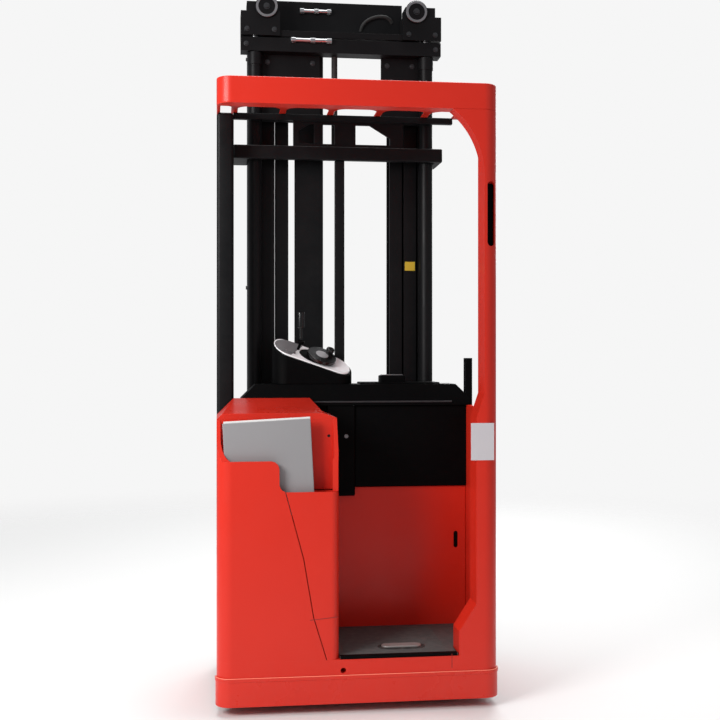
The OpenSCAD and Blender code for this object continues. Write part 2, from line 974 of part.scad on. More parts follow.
// Rods of the lift cylinders, under the middle stage's head
module lift_rods() {
    color(steel)
        both_sides()
            bar_z(lift_x, lift_d, lift_barrel_top - stage_lift - rod_end, block_z, rod_r);
}

// Inner stage with its head, foot and rollers
module mast_inner() {
    head_h = 130;
    foot_h = 24;
    color(dark) {
        both_sides() {
            rail(inner_x1, inner_half_d, outer_web, inner_flange, rail_z, inner_top - head_h + e);
            rollers(inner_x1, middle_half_d - middle_flange - roller_gap, roller_z);
        }
        block(-inner_x1, inner_x1, mast_d - inner_half_d, mast_d + inner_half_d,
              inner_top - head_h, inner_top);
        block(-inner_x0 - e, inner_x0 + e, mast_d - free_r, mast_d + free_r, rail_z, rail_z + foot_h);
    }
}

free_low = rail_z + 24;
free_top = 1180;
crosshead_h = 44;
free_rod_r = 25;
sheave_r = 45;
sheave_z = free_top + 10 + crosshead_h;

// Barrel of the free-lift cylinder on the inner stage's foot
module free_lift_cylinder() {
    barrel_floor = 40;
    color(dark)
        difference() {
            bar_z(free_x, mast_d, free_low, free_top, free_r);
            bar_z(free_x, mast_d, free_low + barrel_floor, free_top + e, free_rod_r + rod_gap);
        }
}

// Rod of the free-lift cylinder with its crosshead and chain wheel
module free_lift_rod() {
    half = 48;
    sheave_t = 32;
    color(steel) {
        bar_z(free_x, mast_d, free_top - free_lift / 2 - rod_end, free_top + 11, free_rod_r);
        block(free_x - half, free_x + half, mast_d - 24, mast_d + 24,
              free_top + 10, free_top + 10 + crosshead_h);
        bar_x(free_x - sheave_t / 2, free_x + sheave_t / 2, mast_d + 8, sheave_z, sheave_r);
    }
}

// Carriage chain from the chain wheel down to the carriage
module lift_chains() {
    chain_w = 24;
    chain_t = 4;
    chain_low = 480;
    chain_d = mast_d + 8 + sheave_r + roller_gap;
    color(steel)
        block(free_x - chain_w / 2, free_x + chain_w / 2, chain_d, chain_d + chain_t, chain_low, sheave_z);
}

// Forks and carriage
heel_t = 35;
carriage_t = 17;
heel_top = 470;
carriage_d = body_l - heel_t - carriage_t;
arm_x1 = inner_x0 - run_gap - 2;
arm_t = 14;
arm_low = rail_z + 24 + 2 * run_gap;
arm_top = 520;
tip_d = body_l + fork_l;

// Carriage bars, arms and the rollers that run in the inner stage
module fork_carriage() {
    bar_z = [arm_low, heel_top - 70];
    bar_h = 70;
    half = fork_span / 2;
    color(dark) {
        for (z = bar_z)
            block(-half, half, carriage_d, carriage_d + carriage_t, z, z + bar_h);
        both_sides() {
            block(arm_x1 - arm_t, arm_x1, middle_back + middle_tie_t + run_gap, carriage_d + carriage_t,
                  arm_low, arm_top);
            for (z = [arm_low + 60, arm_top - 50]) {
                bar_x(arm_x1 - e, inner_x0 + 3, mast_d, z, 14);
                bar_x(inner_x0 + 2, inner_x1 - outer_web - run_gap, mast_d, z,
                      inner_half_d - inner_flange - roller_gap);
            }
        }
    }
}

// Fork outline in plan with round tip corners
module fork_plan() {
    tip_r = 70;
    translate([fork_x - fork_w / 2, y_at(body_l - heel_t)])
        difference() {
            square([fork_w, fork_l + heel_t]);
            translate([0, fork_l + heel_t])
                mirror([0, 1])
                    corner_cut(tip_r);
            translate([fork_w, fork_l + heel_t])
                rotate(180)
                    corner_cut(tip_r);
        }
}

// Two forks: a top plate with skirts that straddle the legs, and a heel
module forks() {
    skirt_h = 50;
    color(dark)
        both_sides() {
            translate([0, 0, fork_z - fork_t])
                linear_extrude(fork_t)
                    fork_plan();
            for (side = [-1, 1])
                translate([fork_x + side * (fork_w - fork_t) / 2 - fork_t / 2,
                           y_at(body_l - heel_t), fork_z - skirt_h])
                    cube([fork_t, fork_l + heel_t - 75, skirt_h - e]);
            block(fork_x - fork_w / 2, fork_x + fork_w / 2, body_l - heel_t, body_l, fork_z - e, heel_top);
        }
}

leg_end_d = tip_d - 62;
load_d = [load_tip_d, load_tip_d - load_pitch];

// Two legs under the forks, each a channel with pins for tandem wheels
module support_legs() {
    roof_t = 10;
    wheel_room = load_r + run_gap + 4;
    color(dark)
        both_sides() {
            difference() {
                block(fork_x - leg_w / 2, fork_x + leg_w / 2, mast_back, leg_end_d, leg_clear, leg_z);
                block(fork_x - leg_w / 2 + cheek_t, fork_x + leg_w / 2 - cheek_t, mast_back + cheek_t,
                      leg_end_d - cheek_t / 2, leg_clear - e, leg_z - roof_t);
                block(fork_x - leg_w / 2 + cheek_t, fork_x + leg_w / 2 - cheek_t, load_d[1] - wheel_room,
                      min(load_d[0] + wheel_room, leg_end_d - cheek_t / 2), leg_clear - e, leg_z + e);
            }
            for (d = load_d)
                bar_x(fork_x - leg_w / 2 + cheek_t - e, fork_x + leg_w / 2 - cheek_t + e, d, load_r, axle_r);
        }
}

// Wheels
// Load wheel on a leg's pin, on the side and at the place given
module load_wheel(side, place) {
    color([0.75, 0.55, 0.25])
        difference() {
            bar_x(side * fork_x - load_w / 2, side * fork_x + load_w / 2, load_d[place], load_r, load_r);
            bar_x(side * fork_x - load_w, side * fork_x + load_w, load_d[place], load_r, axle_r + pin_gap);
        }
}

module load_wheel_lf() {
    load_wheel(-1, 0);
}

module load_wheel_lr() {
    load_wheel(-1, 1);
}

module load_wheel_rf() {
    load_wheel(1, 0);
}

module load_wheel_rr() {
    load_wheel(1, 1);
}

drive_half = drive_w / 2;
seat_gap = 0.3;
turret_top = turret_z + turret_t;
seat_flange_t = 12;
seat_flange_r = 96;
hub_r = 84;

// Steered housing of the drive wheel with its spindle and axle
module drive_unit() {
    head_r = 112;
    head_t = 18;
    leg_half = 52;
    leg_t = 42;
    leg_low = 62;
    leg_x = drive_x + drive_half + run_gap + 2;
    head_z = turret_z - seat_gap - head_t;
    color(dark) {
        bar_z(drive_x, drive_d, head_z, turret_z - seat_gap, head_r);
        bar_z(drive_x, drive_d, turret_z - seat_gap - e, turret_top + seat_gap + e, spindle_r);
        bar_z(drive_x, drive_d, turret_top + seat_gap, turret_top + seat_gap + seat_flange_t, seat_flange_r);
        block(leg_x, leg_x + leg_t, drive_d - leg_half, drive_d + leg_half, leg_low, head_z + e);
        bar_x(drive_x - drive_half - 4, leg_x + e, drive_d, drive_r, axle_drive_r);
    }
}

// Upright drive motor on the housing
module drive_motor() {
    motor_r = 84;
    motor_h = 330;
    motor_z = turret_top + seat_gap + seat_flange_t;
    color([0.20, 0.21, 0.23])
        bar_z(drive_x, drive_d, motor_z, motor_z + motor_h, motor_r);
}

// Rim of the drive wheel
module drive_hub() {
    color(steel)
        difference() {
            bar_x(drive_x - drive_half, drive_x + drive_half, drive_d, drive_r, hub_r);
            bar_x(drive_x - drive_w, drive_x + drive_w, drive_d, drive_r, axle_drive_r + pin_gap);
        }
}

// Tyre of the drive wheel
module drive_tyre() {
    color([0.10, 0.10, 0.10])
        difference() {
            bar_x(drive_x - drive_half, drive_x + drive_half, drive_d, drive_r, drive_r);
            bar_x(drive_x - drive_w, drive_x + drive_w, drive_d, drive_r, hub_r);
        }
}

castor_axle_d = castor_d - castor_trail;

// Swivelling leg of the castor
module castor_fork() {
    plate_r = 55;
    plate_t = 12;
    plate_z = deck_low - seat_gap - plate_t;
    leg_half = castor_leg_w / 2;
    color(dark)
        difference() {
            union() {
                bar_z(castor_x, castor_d, plate_z, deck_low - seat_gap, plate_r);
                bar_z(castor_x, castor_d, deck_low - seat_gap - e, deck_z, castor_spindle_r);
                block(castor_x - leg_half, castor_x + leg_half, castor_axle_d - 24, castor_d + 24,
                      castor_r - 24, plate_z + e);
            }
            bar_x(castor_x - castor_leg_w, castor_x + castor_leg_w, castor_axle_d, castor_r,
                  castor_axle_r + pin_gap);
        }
}

// Twin castor wheels on one axle
module castor_wheels() {
    inner_x = castor_leg_w / 2 + 5;
    color([0.14, 0.14, 0.15]) {
        for (side = [-1, 1])
            bar_x(castor_x + side * (inner_x + castor_w / 2) - castor_w / 2,
                  castor_x + side * (inner_x + castor_w / 2) + castor_w / 2, castor_axle_d, castor_r, castor_r);
        bar_x(castor_x - inner_x - e, castor_x + inner_x + e, castor_axle_d, castor_r, castor_axle_r);
    }
}

chassis();
rear_bumper();
tower_cover();
corner_panel();
tower_hood();
document_folder();
platform_mat();
floor_pedal();
compartment_wall();
knee_panel();
corner_post();
dash_shelf();
control_pod();
control_face();
control_lever();
steering_disc();
right_pillar();
side_covers();
guard_roof();
left_pillar();
guard_header();
guard_crossbar();
screen_post();
battery();
mast_outer();
lift_cylinders();
mast_middle();
lift_rods();
mast_inner();
free_lift_cylinder();
free_lift_rod();
lift_chains();
fork_carriage();
forks();
support_legs();
drive_unit();
drive_motor();
drive_hub();
drive_tyre();
castor_fork();
castor_wheels();
load_wheel_lf();
load_wheel_lr();
load_wheel_rf();
load_wheel_rr();
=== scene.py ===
"""Looks of an electric pallet stacker: finishes, rounded edges, fittings, floor, light and camera."""

import json
import logging
import math
from dataclasses import dataclass, replace
from enum import Enum
from functools import cache
from typing import Sequence

import bpy
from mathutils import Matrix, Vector

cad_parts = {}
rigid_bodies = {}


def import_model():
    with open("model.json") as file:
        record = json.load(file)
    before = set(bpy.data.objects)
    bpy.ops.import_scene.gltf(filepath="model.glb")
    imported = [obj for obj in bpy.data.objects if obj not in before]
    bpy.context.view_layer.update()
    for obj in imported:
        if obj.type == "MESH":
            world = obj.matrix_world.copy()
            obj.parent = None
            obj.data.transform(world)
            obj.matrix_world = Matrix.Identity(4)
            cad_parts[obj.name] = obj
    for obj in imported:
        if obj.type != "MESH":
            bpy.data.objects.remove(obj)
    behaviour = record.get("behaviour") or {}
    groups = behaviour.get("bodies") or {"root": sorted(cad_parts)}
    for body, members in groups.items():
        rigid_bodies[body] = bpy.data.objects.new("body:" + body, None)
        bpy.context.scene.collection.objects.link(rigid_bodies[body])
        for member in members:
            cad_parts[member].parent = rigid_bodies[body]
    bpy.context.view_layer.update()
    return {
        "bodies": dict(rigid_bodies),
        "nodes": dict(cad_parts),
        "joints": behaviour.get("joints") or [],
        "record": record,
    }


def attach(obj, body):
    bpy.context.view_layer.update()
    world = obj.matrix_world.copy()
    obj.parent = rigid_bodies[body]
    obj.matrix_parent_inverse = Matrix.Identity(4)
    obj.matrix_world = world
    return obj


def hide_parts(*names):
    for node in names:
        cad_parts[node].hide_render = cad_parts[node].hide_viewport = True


log = logging.getLogger("stacker")

Point = tuple[float, float, float]
Flat = tuple[float, float]
Row = tuple[float, ...]
Block = tuple[Flat, Flat, Flat]
Piece = bpy.types.Object

TRUCK = "truck"
MIDDLE = "mast_middle"
INNER = "mast_inner"
SIDES = ((-1.0, "left"), (1.0, "right"))
REARWARD = (0, -1, 0)
REAR_Y = -1.015
SHARP_DEG = 32.0
SMOOTH_DEG = 40.0
FLAT_DEG = 2.0
SPIN_STEPS = 48
MERGE_SPUN = 1e-6
MERGE_SOLID = 1e-5


class Facing(Enum):
    """Axis that a flat outline is pushed along, with the two axes it is drawn in."""

    REAR = (0, 2, 1)
    TOP = (0, 1, 2)


def pick(*pieces: Piece) -> None:
    """Select only the given pieces, with the first one active.

    Args:
        pieces: What the next operator works on.
    """
    for item in bpy.context.selected_objects:
        item.select_set(False)
    for piece in pieces:
        piece.select_set(True)
    bpy.context.view_layer.objects.active = pieces[0]


def settle(piece: Piece, name: str) -> Piece:
    """Name a piece and put its place, turn and size into its mesh, so that it ends at the origin.

    Args:
        piece: The object just modelled.
        name: Its final name.

    Returns:
        The same object.
    """
    pick(piece)
    bpy.ops.object.transform_apply(location=True, rotation=True, scale=True)
    piece.name = name
    piece.data.name = name
    return piece


def soften(piece: Piece, width: float, segments: int = 2) -> Piece:
    """Round the sharp edges of a piece and shade it smooth, with its flat faces kept flat.

    Args:
        piece: Piece to round.
        width: Width of the rounding in metres, or 0 for none.
        segments: Steps across the rounding.

    Returns:
        The same object.
    """
    pick(piece)
    if width > 0:
        bevel = piece.modifiers.new("edge", "BEVEL")
        bevel.width = width
        bevel.segments = segments
        bevel.limit_method = "ANGLE"
        bevel.angle_limit = math.radians(SHARP_DEG)
        bpy.ops.object.modifier_apply(modifier=bevel.name)
    bpy.ops.object.shade_smooth_by_angle(angle=math.radians(SMOOTH_DEG))
    if width > 0:
        flat = piece.modifiers.new("flat_faces", "WEIGHTED_NORMAL")
        flat.keep_sharp = True
        bpy.ops.object.modifier_apply(modifier=flat.name)
    return piece


def box(name: str, low: Point, high: Point, edge: float = 0.002, segments: int = 2) -> Piece:
    """Model a block between two corners, with its edges rounded.

    Args:
        name: Name of the piece.
        low: Lowest corner.
        high: Highest corner.
        edge: Width of the edge rounding.
        segments: Steps across the rounding.

    Returns:
        The new piece.
    """
    centre = [(a + b) / 2 for a, b in zip(low, high)]
    bpy.ops.mesh.primitive_cube_add(size=1.0, location=centre)
    piece = bpy.context.object
    piece.scale = [b - a for a, b in zip(low, high)]
    return soften(settle(piece, name), edge, segments)


def rod(name: str, start: Point, end: Point, radius: float, edge: float = 0.001, sides: int = 32) -> Piece:
    """Model a round bar between two points, with its rims rounded.

    Args:
        name: Name of the piece.
        start: Centre of one end.
        end: Centre of the other end.
        radius: Radius of the bar.
        edge: Width of the rim's rounding.
        sides: Sides of the round.

    Returns:
        The new piece.
    """
    along = Vector(end) - Vector(start)
    middle = (Vector(end) + Vector(start)) / 2
    bpy.ops.mesh.primitive_cylinder_add(vertices=sides, radius=radius, depth=along.length, location=middle)
    piece = bpy.context.object
    piece.rotation_euler = along.to_track_quat("Z", "Y").to_euler()
    return soften(settle(piece, name), edge)


def slab(name: str, outline: Sequence[Flat], facing: Facing, near: float, far: float, edge: float = 0.002,
         segments: int = 2) -> Piece:
    """Push a flat outline along an axis.

    Args:
        name: Name of the piece.
        outline: Corners, in the two axes that the facing gives.
        facing: Axes of the outline and of the push.
        near: Where the outline lies.
        far: Where the push ends.
        edge: Width of the edge rounding.
        segments: Steps across the rounding.

    Returns:
        The new piece.
    """
    bpy.ops.mesh.primitive_circle_add(vertices=len(outline), fill_type="NGON")
    piece = bpy.context.object
    first, second, push = facing.value
    for corner, (a, b) in zip(piece.data.vertices, outline):
        spot = [0.0, 0.0, 0.0]
        spot[first], spot[second], spot[push] = a, b, near
        corner.co = spot
    step = [0.0, 0.0, 0.0]
    step[push] = far - near
    bpy.ops.object.mode_set(mode="EDIT")
    bpy.ops.mesh.select_all(action="SELECT")
    bpy.ops.mesh.extrude_region_move(TRANSFORM_OT_translate={"value": step})
    bpy.ops.mesh.select_all(action="SELECT")
    bpy.ops.mesh.normals_make_consistent(inside=False)
    bpy.ops.object.mode_set(mode="OBJECT")
    return soften(settle(piece, name), edge, segments)


def lathe(name: str, profile: Sequence[Flat], centre: Point, axis: Point) -> Piece:
    """Spin a profile round an axis into a closed ring.

    Args:
        name: Name of the piece.
        profile: Closed outline as distance along the axis and radius.
        centre: Point on the axis where the distance is zero.
        axis: Direction of the axis.

    Returns:
        The new piece.
    """
    bpy.ops.mesh.primitive_circle_add(vertices=len(profile), fill_type="NOTHING")
    piece = bpy.context.object
    for corner, (along, radius) in zip(piece.data.vertices, profile):
        corner.co = (radius, 0.0, along)
    bpy.ops.object.mode_set(mode="EDIT")
    bpy.ops.mesh.select_all(action="SELECT")
    bpy.ops.mesh.spin(steps=SPIN_STEPS, angle=2 * math.pi, center=(0, 0, 0), axis=(0, 0, 1))
    bpy.ops.mesh.select_all(action="SELECT")
    bpy.ops.mesh.remove_doubles(threshold=MERGE_SPUN)
    bpy.ops.mesh.normals_make_consistent(inside=False)
    bpy.ops.object.mode_set(mode="OBJECT")
    piece.rotation_euler = Vector(axis).to_track_quat("Z", "Y").to_euler()
    piece.location = centre
    return soften(settle(piece, name), 0.0)


def tube(name: str, path: Sequence[Point], radius: float) -> Piece:
    """Sweep a round section along a smooth path, as a pipe or a fixed hose.

    Args:
        name: Name of the piece.
        path: Points that lead the middle line, its ends on the first and the last.
        radius: Radius of the section.

    Returns:
        The new piece.
    """
    curve = bpy.data.curves.new(name, "CURVE")
    curve.dimensions = "3D"
    curve.bevel_depth = radius
    curve.bevel_resolution = 3
    curve.use_fill_caps = True
    spline = curve.splines.new("NURBS")
    spline.points.add(len(path) - 1)
    for knot, point in zip(spline.points, path):
        knot.co = (*point, 1.0)
    spline.use_endpoint_u = True
    spline.order_u = 3
    piece = bpy.data.objects.new(name, curve)
    bpy.context.collection.objects.link(piece)
    pick(piece)
    bpy.ops.object.convert(target="MESH")
    return soften(settle(bpy.context.object, name), 0.0)


def join(name: str, pieces: Sequence[Piece]) -> Piece:
    """Join pieces of one finish into one mesh.

    Args:
        name: Name of the joined piece.
        pieces: What is joined.

    Returns:
        The joined piece.
    """
    pick(*pieces)
    bpy.ops.object.join()
    return settle(bpy.context.object, name)


def from_node(name: str, node: Piece, edge: float, segments: int = 2) -> Piece:
    """Copy a solid's mesh, merge its loose triangles and round its edges.

    Args:
        name: Name of the new piece.
        node: Solid that is copied.
        edge: Width of the edge rounding.
        segments: Steps across the rounding.

    Returns:
        The new piece.
    """
    piece = bpy.data.objects.new(name, node.data.copy())
    bpy.context.collection.objects.link(piece)
    pick(piece)
    piece.data.materials.clear()
    bpy.ops.object.mode_set(mode="EDIT")
    bpy.ops.mesh.select_all(action="SELECT")
    bpy.ops.mesh.remove_doubles(threshold=MERGE_SOLID)
    bpy.ops.mesh.dissolve_limited(angle_limit=math.radians(FLAT_DEG))
    bpy.ops.object.mode_set(mode="OBJECT")
    return soften(settle(piece, name), edge, segments)


def feed(node: bpy.types.Node, values: dict) -> None:
    """Set inputs of a shader node.

    Args:
        node: The node.
        values: Value of each input by its label.
    """
    for label, value in values.items():
        node.inputs[label].default_value = value


def wire(source: bpy.types.Node, output: str, target: bpy.types.Node, entry: str | int) -> None:
    """Link two shader nodes.

    Args:
        source: Node that gives.
        output: Label of its output.
        target: Node that takes.
        entry: Label or number of its input.
    """
    source.id_data.links.new(source.outputs[output], target.inputs[entry])


class Effects:
    """Shader node groups that several finishes share, each built once. A noise is its scale and detail."""

    number: str = "NodeSocketFloat"
    cloud_noise: Flat = (3.1, 6.0)
    speck_noise: Flat = (46.0, 8.0)
    patch_noise: Flat = (9.0, 7.0)
    grain_detail: float = 3.0
    speck_span: Flat = (0.42, 0.72)
    patch_span: Flat = (0.3, 0.7)
    dust_high_up: float = 0.12

    @staticmethod
    def _noise(group: bpy.types.NodeTree, where: bpy.types.Node, sizes: Flat) -> bpy.types.Node:
        """Add a noise on the piece's own coordinates.

        Args:
            group: Group that gets the noise.
            where: Its coordinates node.
            sizes: Scale and detail of the noise.

        Returns:
            The noise node.
        """
        noise = group.nodes.new("ShaderNodeTexNoise")
        feed(noise, {"Scale": sizes[0], "Detail": sizes[1]})
        wire(where, "Object", noise, "Vector")
        return noise

    @staticmethod
    def _start(name: str, inputs: Sequence[tuple], outputs: Sequence[tuple[str, str]]) -> tuple:
        """Make an empty group with its sockets.

        Args:
            name: Name of the group.
            inputs: Socket name, kind and default.
            outputs: Socket name and kind.

        Returns:
            The group, its input node and its output node.
        """
        group = bpy.data.node_groups.new(name, "ShaderNodeTree")
        for label, kind, value in inputs:
            socket = group.interface.new_socket(label, in_out="INPUT", socket_type=kind)
            socket.default_value = value
        for label, kind in outputs:
            group.interface.new_socket(label, in_out="OUTPUT", socket_type=kind)
        return group, group.nodes.new("NodeGroupInput"), group.nodes.new("NodeGroupOutput")

    @staticmethod
    @cache
    def tone() -> bpy.types.NodeTree:
        """Group that clouds a colour and lays specks of dust over it, most of them low down."""
        group, start, end = Effects._start(
            "clouded_tone",
            [("Color", "NodeSocketColor", (0.5, 0.5, 0.5, 1.0)),
             ("Dust Color", "NodeSocketColor", (0.3, 0.28, 0.25, 1.0)),
             *((label, Effects.number, 0.0) for label in ("Cloud", "Dust", "Dust Height"))],
            [("Color", "NodeSocketColor")])
        nodes = group.nodes
        where = nodes.new("ShaderNodeTexCoord")
        broad = Effects._noise(group, where, Effects.cloud_noise)
        fine = Effects._noise(group, where, Effects.speck_noise)
        cloud = nodes.new("ShaderNodeMix")
        cloud.data_type = "RGBA"
        cloud.blend_type = "OVERLAY"
        wire(start, "Cloud", cloud, "Factor")
        wire(start, "Color", cloud, "A")
        wire(broad, "Fac", cloud, "B")
        split = nodes.new("ShaderNodeSeparateXYZ")
        wire(where, "Object", split, "Vector")
        low = nodes.new("ShaderNodeMapRange")
        feed(low, {"To Min": 1.0, "To Max": Effects.dust_high_up})
        wire(split, "Z", low, "Value")
        wire(start, "Dust Height", low, "From Max")
        speck = nodes.new("ShaderNodeMapRange")
        feed(speck, {"From Min": Effects.speck_span[0], "From Max": Effects.speck_span[1]})
        wire(fine, "Fac", speck, "Value")
        depth = nodes.new("ShaderNodeMath")
        depth.operation = "MULTIPLY"
        wire(low, "Result", depth, 0)
        wire(speck, "Result", depth, 1)
        amount = nodes.new("ShaderNodeMath")
        amount.operation = "MULTIPLY"
        amount.use_clamp = True
        wire(depth, "Value", amount, 0)
        wire(start, "Dust", amount, 1)
        dusty = nodes.new("ShaderNodeMix")
        dusty.data_type = "RGBA"
        wire(amount, "Value", dusty, "Factor")
        wire(cloud, "Result", dusty, "A")
        wire(start, "Dust Color", dusty, "B")
        wire(dusty, "Result", end, "Color")
        return group

    @staticmethod
    @cache
    def grain() -> bpy.types.NodeTree:
        """Group that gives a surface's fine height and its patchy roughness."""
        group, start, end = Effects._start(
            "surface_grain",
            [(label, Effects.number, 1.0) for label in ("Scale", "Stretch", "Low", "High")],
            [(label, Effects.number) for label in ("Height", "Roughness")])
        nodes = group.nodes
        where = nodes.new("ShaderNodeTexCoord")
        shape = nodes.new("ShaderNodeCombineXYZ")
        feed(shape, {"X": 1.0, "Y": 1.0})
        wire(start, "Stretch", shape, "Z")
        drawn = nodes.new("ShaderNodeVectorMath")
        drawn.operation = "MULTIPLY"
        wire(where, "Object", drawn, 0)
        wire(shape, "Vector", drawn, 1)
        texture = nodes.new("ShaderNodeTexNoise")
        feed(texture, {"Detail": Effects.grain_detail})
        wire(drawn, "Vector", texture, "Vector")
        wire(start, "Scale", texture, "Scale")
        wire(texture, "Fac", end, "Height")
        patch = Effects._noise(group, where, Effects.patch_noise)
        spread = nodes.new("ShaderNodeMapRange")
        feed(spread, {"From Min": Effects.patch_span[0], "From Max": Effects.patch_span[1]})
        wire(patch, "Fac", spread, "Value")
        wire(start, "Low", spread, "To Min")
        wire(start, "High", spread, "To Max")
        wire(spread, "Result", end, "Roughness")
        return group


@dataclass(frozen=True)
class Finish:
    """One surface finish and the sizes of its texture."""

    name: str
    slot: str
    color: Point
    rough: Flat = (0.3, 0.45)
    metallic: float = 0.0
    coat: float = 0.0
    coat_rough: float = 0.12
    specular: float = 0.5
    grain: float = 240.0
    stretch: float = 1.0
    bump: float = 0.0
    bump_depth: float = 0.002
    cloud: float = 0.12
    dust: float = 0.25
    dust_height: float = 0.6
    dust_color: Point = (0.30, 0.27, 0.24)

    @cache
    def material(self) -> bpy.types.Material:
        """Build the finish's material once and return it."""
        material = bpy.data.materials.new(self.name)
        material.use_nodes = True
        nodes = material.node_tree.nodes
        shader = nodes["Principled BSDF"]
        feed(shader, {"Metallic": self.metallic, "Specular IOR Level": self.specular,
                      "Coat Weight": self.coat, "Coat Roughness": self.coat_rough})
        tone = nodes.new("ShaderNodeGroup")
        tone.node_tree = Effects.tone()
        feed(tone, {"Color": (*self.color, 1.0), "Dust Color": (*self.dust_color, 1.0),
                    "Cloud": self.cloud, "Dust": self.dust, "Dust Height": self.dust_height})
        wire(tone, "Color", shader, "Base Color")
        grain = nodes.new("ShaderNodeGroup")
        grain.node_tree = Effects.grain()
        feed(grain, {"Scale": self.grain, "Stretch": self.stretch,
                     "Low": self.rough[0], "High": self.rough[1]})
        wire(grain, "Roughness", shader, "Roughness")
        if self.bump > 0:
            bump = nodes.new("ShaderNodeBump")
            feed(bump, {"Strength": self.bump, "Distance": self.bump_depth})
            wire(grain, "Height", bump, "Height")
            wire(bump, "Normal", shader, "Normal")
        return material


BLACK_DUST = (0.07, 0.065, 0.06)
PAINT = Finish("orange_red_paint", "body_paint", (0.68, 0.026, 0.012), (0.30, 0.42), coat=0.04, specular=0.28,
               cloud=0.08, dust=0.02, dust_height=0.30)
GLOSS_PAINT = replace(PAINT, name="polished_paint", rough=(0.24, 0.34), coat=0.13)
# Lighter paint for the bumper's top bead: a painted highlight on the rounded lip, and worn paint.
LIP_HIGHLIGHT_PAINT = replace(PAINT, name="worn_lip_paint", color=(0.93, 0.27, 0.18), coat=0.30)
POCKET = Finish("pocket_paint", "body_paint", (0.30, 0.012, 0.008), (0.5, 0.6), dust=0.0)
MAST_PAINT = Finish("mast_black_paint", "mast_paint", (0.0028, 0.0028, 0.0034), (0.38, 0.52), specular=0.20,
                    grain=300.0, bump=0.06, dust=0.05, dust_height=3.0, dust_color=(0.06, 0.055, 0.05))
MOULDING = Finish("black_moulding", "black_plastic", (0.0016, 0.0017, 0.0019), (0.46, 0.6), specular=0.05,
                  grain=900.0, bump=0.12, dust=0.012, dust_height=3.0, dust_color=BLACK_DUST)
GLOSS = Finish("black_gloss", "black_plastic", (0.004, 0.004, 0.004), (0.16, 0.26), dust=0.02,
               dust_color=BLACK_DUST)
INLAY = Finish("grey_inlay", "black_plastic", (0.17, 0.165, 0.17), (0.28, 0.4), dust=0.04)
# Lighter speckled grey for the steering disc's hub: a painted sheen on the disc's top.
SHEEN_HUB = Finish("speckled_hub", "bright_plate", (0.34, 0.34, 0.35), (0.22, 0.34), coat=0.2, cloud=0.6, dust=0.3,
             dust_height=3.0)
SILVER = Finish("silver_cover", "bright_plate", (0.96, 0.96, 0.97), (0.18, 0.28), coat=0.3, dust=0.04)
STEEL = Finish("bare_steel", "steel", (0.56, 0.57, 0.58), (0.20, 0.36), metallic=1.0, grain=260.0,
               stretch=0.05, bump=0.06, dust=0.05)
DULL_STEEL = Finish("dull_steel", "steel", (0.30, 0.30, 0.31), (0.38, 0.55), metallic=1.0, grain=260.0,
                    bump=0.08, dust=0.12)
PEDAL = Finish("worn_pedal", "steel", (0.25, 0.235, 0.225), (0.4, 0.55), metallic=0.35, dust=0.1)
DARK_BOLT = Finish("dark_bolt", "steel", (0.075, 0.076, 0.08), (0.35, 0.5), metallic=1.0, dust=0.05)
MAT = Finish("grey_mat", "mat", (0.064, 0.066, 0.064), (0.72, 0.86), grain=700.0, bump=0.3, cloud=0.2,
             dust=0.16)
FOLDER = Finish("grey_folder", "folder", (0.30, 0.29, 0.295), (0.32, 0.42), grain=500.0, bump=0.03,
                cloud=0.05, dust=0.03)
PAPER = Finish("blank_paper", "folder", (0.78, 0.78, 0.76), (0.6, 0.7), cloud=0.04, dust=0.02)
TRAY = Finish("battery_tray", "battery", (0.020, 0.020, 0.023), (0.4, 0.6), grain=350.0, bump=0.12, dust=0.15)
RUBBER = Finish("tyre_rubber", "tyre", (0.010, 0.010, 0.010), (0.65, 0.85), grain=600.0, bump=0.25,
                dust=0.35, dust_height=0.3)
AMBER = Finish("amber_wheel", "wheel", (0.42, 0.21, 0.045), (0.35, 0.5), grain=500.0, bump=0.08, dust=0.3,
               dust_height=0.2)
CASTING = Finish("dark_casting", "motor", (0.035, 0.036, 0.040), (0.45, 0.65), grain=180.0, bump=0.3,
                 dust=0.2)
LABEL = Finish("blank_label", "body_paint", (0.62, 0.58, 0.60), (0.4, 0.5), cloud=0.05, dust=0.04)
YELLOW = Finish("blank_yellow_label", "mast_paint", (0.62, 0.42, 0.03), (0.4, 0.5), dust=0.03)


@dataclass(frozen=True)
class BoltShape:
    """Bolt on its washer: widths, heights and the head's rim as shares of the radius, the rest in metres."""

    washer_wide: float = 1.35
    washer_high: float = 0.2
    washer_sunk: float = 0.001
    washer_rim: float = 0.0004
    washer_sides: int = 24
    head_high: float = 0.8
    head_rim: float = 0.12
    head_sides: int = 6


BOLT = BoltShape()
RING_RIM = 0.2


def place(piece: Piece, finish: Finish, body: str = TRUCK, node: str | None = None) -> None:
    """Give a finished piece its material and body.

    Args:
        piece: The finished piece.
        finish: Its finish.
        body: Body that it moves with.
        node: Solid that it stands for, if any.
    """
    piece.data.materials.clear()
    piece.data.materials.append(finish.material())
    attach(piece, body)
    if node:
        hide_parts(node)
    log.info("piece %s on %s", piece.name, body)


def deep(depth: float) -> float:
    """Y of a depth measured forward from the machine's rear face.

    Args:
        depth: Depth in metres.

    Returns:
        Place on the Y axis.
    """
    return REAR_Y + depth


def span(frame: dict, node: str) -> tuple[Point, Point, Point]:
    """Lowest corner, highest corner and middle of a solid.

    Args:
        frame: The loaded frame.
        node: Name of the solid.

    Returns:
        The three points.
    """
    solid = frame["nodes"][node]
    corners = [solid.matrix_world @ Vector(corner) for corner in solid.bound_box]
    low = tuple(min(corner[axis] for corner in corners) for axis in range(3))
    high = tuple(max(corner[axis] for corner in corners) for axis in range(3))
    return low, high, tuple((a + b) / 2 for a, b in zip(low, high))


